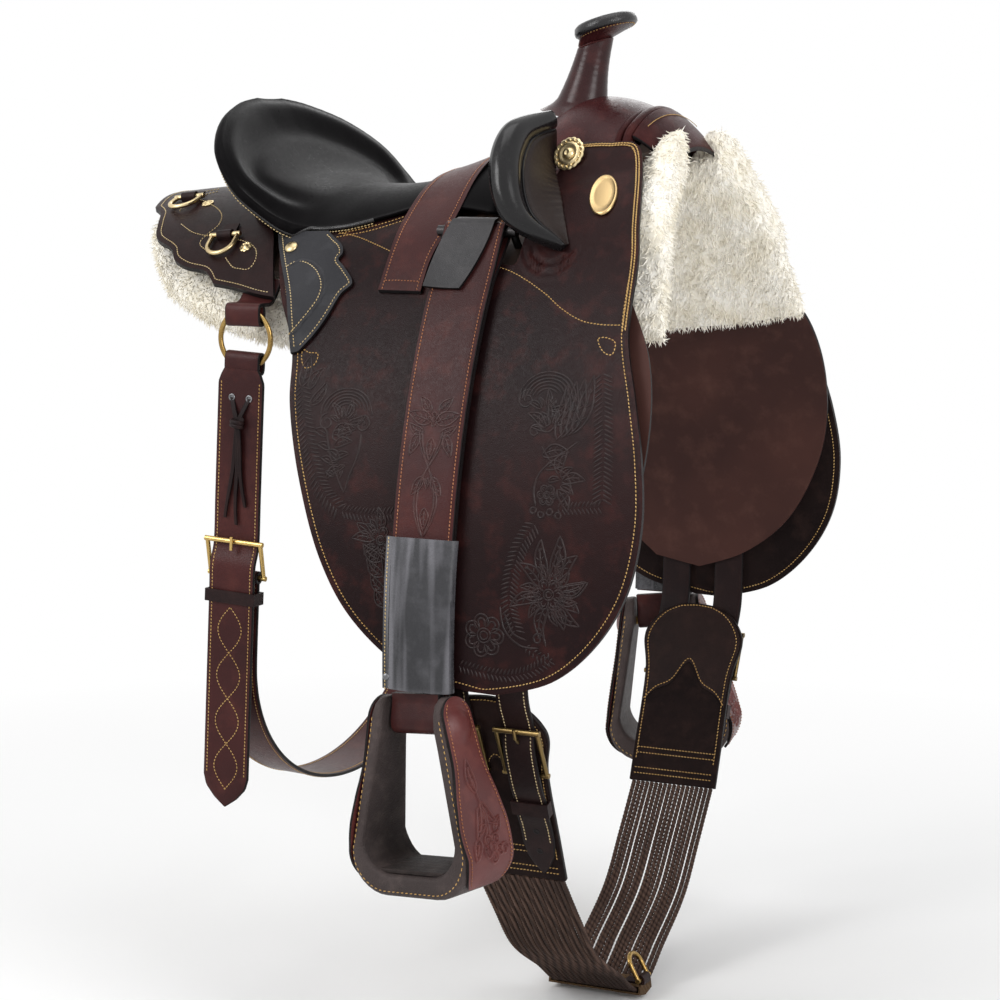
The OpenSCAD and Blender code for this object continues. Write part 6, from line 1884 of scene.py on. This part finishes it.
makers = [makeFlaps, makeSweatFlaps, makePanels, makeSeat, makeCantleBack, makePoleys, makePommel, makeHorn,
          makeSkirt, makeCorners, makeFittings, makeRigging, makeLeathers, makeSleeves, makeTabs, makeStirrups,
          makeStirrupPanels, makeGirthEnds, makeBillets, makeStrings, makeCinch, makeThong, finishCarried]
for make in makers:
    make()
    print("saddle:", make.__name__, "done")

# stage: pale floor, soft light, camera
stagePiece = dict(floorZ=-0.752, floorSize=14.0, target=(0.040, 0.0, -0.260), azimuth=26.0, pitch=8.0,
                  distance=2.6, lens=93.6, litNear=0.8, litFar=1.7, ambient=0.5)


def seenDirectly(tree):
    # 1 for rays that should meet a plain white background
    path = addNode(tree, "LightPath").outputs
    seen = mathNode(tree, "MAXIMUM", path["Is Camera Ray"], path["Is Glossy Ray"])
    return mathNode(tree, "MAXIMUM", seen, path["Is Transmission Ray"])


def makeFloor():
    # lit and shadowed near the saddle, plain white further out
    mesh = bpy.data.meshes.new("floor")
    h, z = stagePiece["floorSize"], stagePiece["floorZ"]
    mesh.from_pydata([(-h, -h, z), (h, -h, z), (h, h, z), (-h, h, z)], [], [(0, 1, 2, 3)])
    m, t, bsdf, vec = newMaterial("paleFloor")
    bsdf.inputs["Base Color"].default_value = (0.9, 0.9, 0.9, 1)
    bsdf.inputs["Roughness"].default_value = 0.9
    bsdf.inputs["Specular IOR Level"].default_value = 0.1
    far = addNode(t, "VectorMath", vec, operation="LENGTH").outputs["Value"]
    fade = mapRange(t, far, stagePiece["litNear"], stagePiece["litFar"])
    white = addNode(t, "Emission", Color=(1, 1, 1, 1), Strength=1.0)
    seen = mathNode(t, "MULTIPLY", seenDirectly(t), fade)
    mix = addNode(t, "MixShader", seen, bsdf.outputs[0], white.outputs[0])
    feed(t, t.nodes["Material Output"].inputs["Surface"], mix.outputs[0])
    mesh.materials.append(m)
    linked("floor", mesh)


def areaLight(name, place, aim, size, power):
    data = bpy.data.lights.new(name, "AREA")
    data.shape = "RECTANGLE"
    data.size, data.size_y = size
    data.energy = power
    obj = linked(name, data)
    obj.location = place
    obj.rotation_euler = (Vector(aim) - Vector(place)).to_track_quat("-Z", "Y").to_euler()


def makeStage():
    p = stagePiece
    makeFloor()
    areaLight("keyLeft", (-1.6, -2.4, 1.5), (0, 0, -0.2), (1.4, 1.8), 56)
    areaLight("fillRight", (2.6, -1.2, 0.8), (0.05, 0, -0.25), (1.2, 1.8), 42)
    areaLight("topBox", (0.1, -0.2, 2.2), (0, 0, 0), (1.8, 1.4), 16)
    areaLight("rimBack", (-0.6, 2.4, 1.3), (0, 0, -0.1), (1.6, 1.2), 15)
    world = bpy.data.worlds.new("studio")
    bpy.context.scene.world = world
    world.use_nodes = True
    t = world.node_tree
    back = t.nodes["Background"].inputs
    back["Color"].default_value = (1, 1, 1, 1)
    feed(t, back["Strength"], mapRange(t, seenDirectly(t), 0.0, 1.0, p["ambient"], 1.0))
    a, e = math.radians(p["azimuth"]), math.radians(p["pitch"])
    backDir = Vector((math.sin(a) * math.cos(e), -math.cos(a) * math.cos(e), math.sin(e)))
    rightDir = Vector((math.cos(a), math.sin(a), 0))
    spin = Matrix((rightDir, backDir.cross(rightDir), backDir)).transposed()
    data = bpy.data.cameras.new("photoCamera")
    data.lens, data.sensor_width = p["lens"], 36.0
    data.clip_end = 60
    cam = linked("photoCamera", data)
    cam.matrix_world = Matrix.Translation(Vector(p["target"]) + backDir * p["distance"]) @ spin.to_4x4()
    bpy.context.scene.camera = cam
    bpy.context.scene.view_settings.view_transform = "Standard"


makeStage()
print("saddle: stage ready")
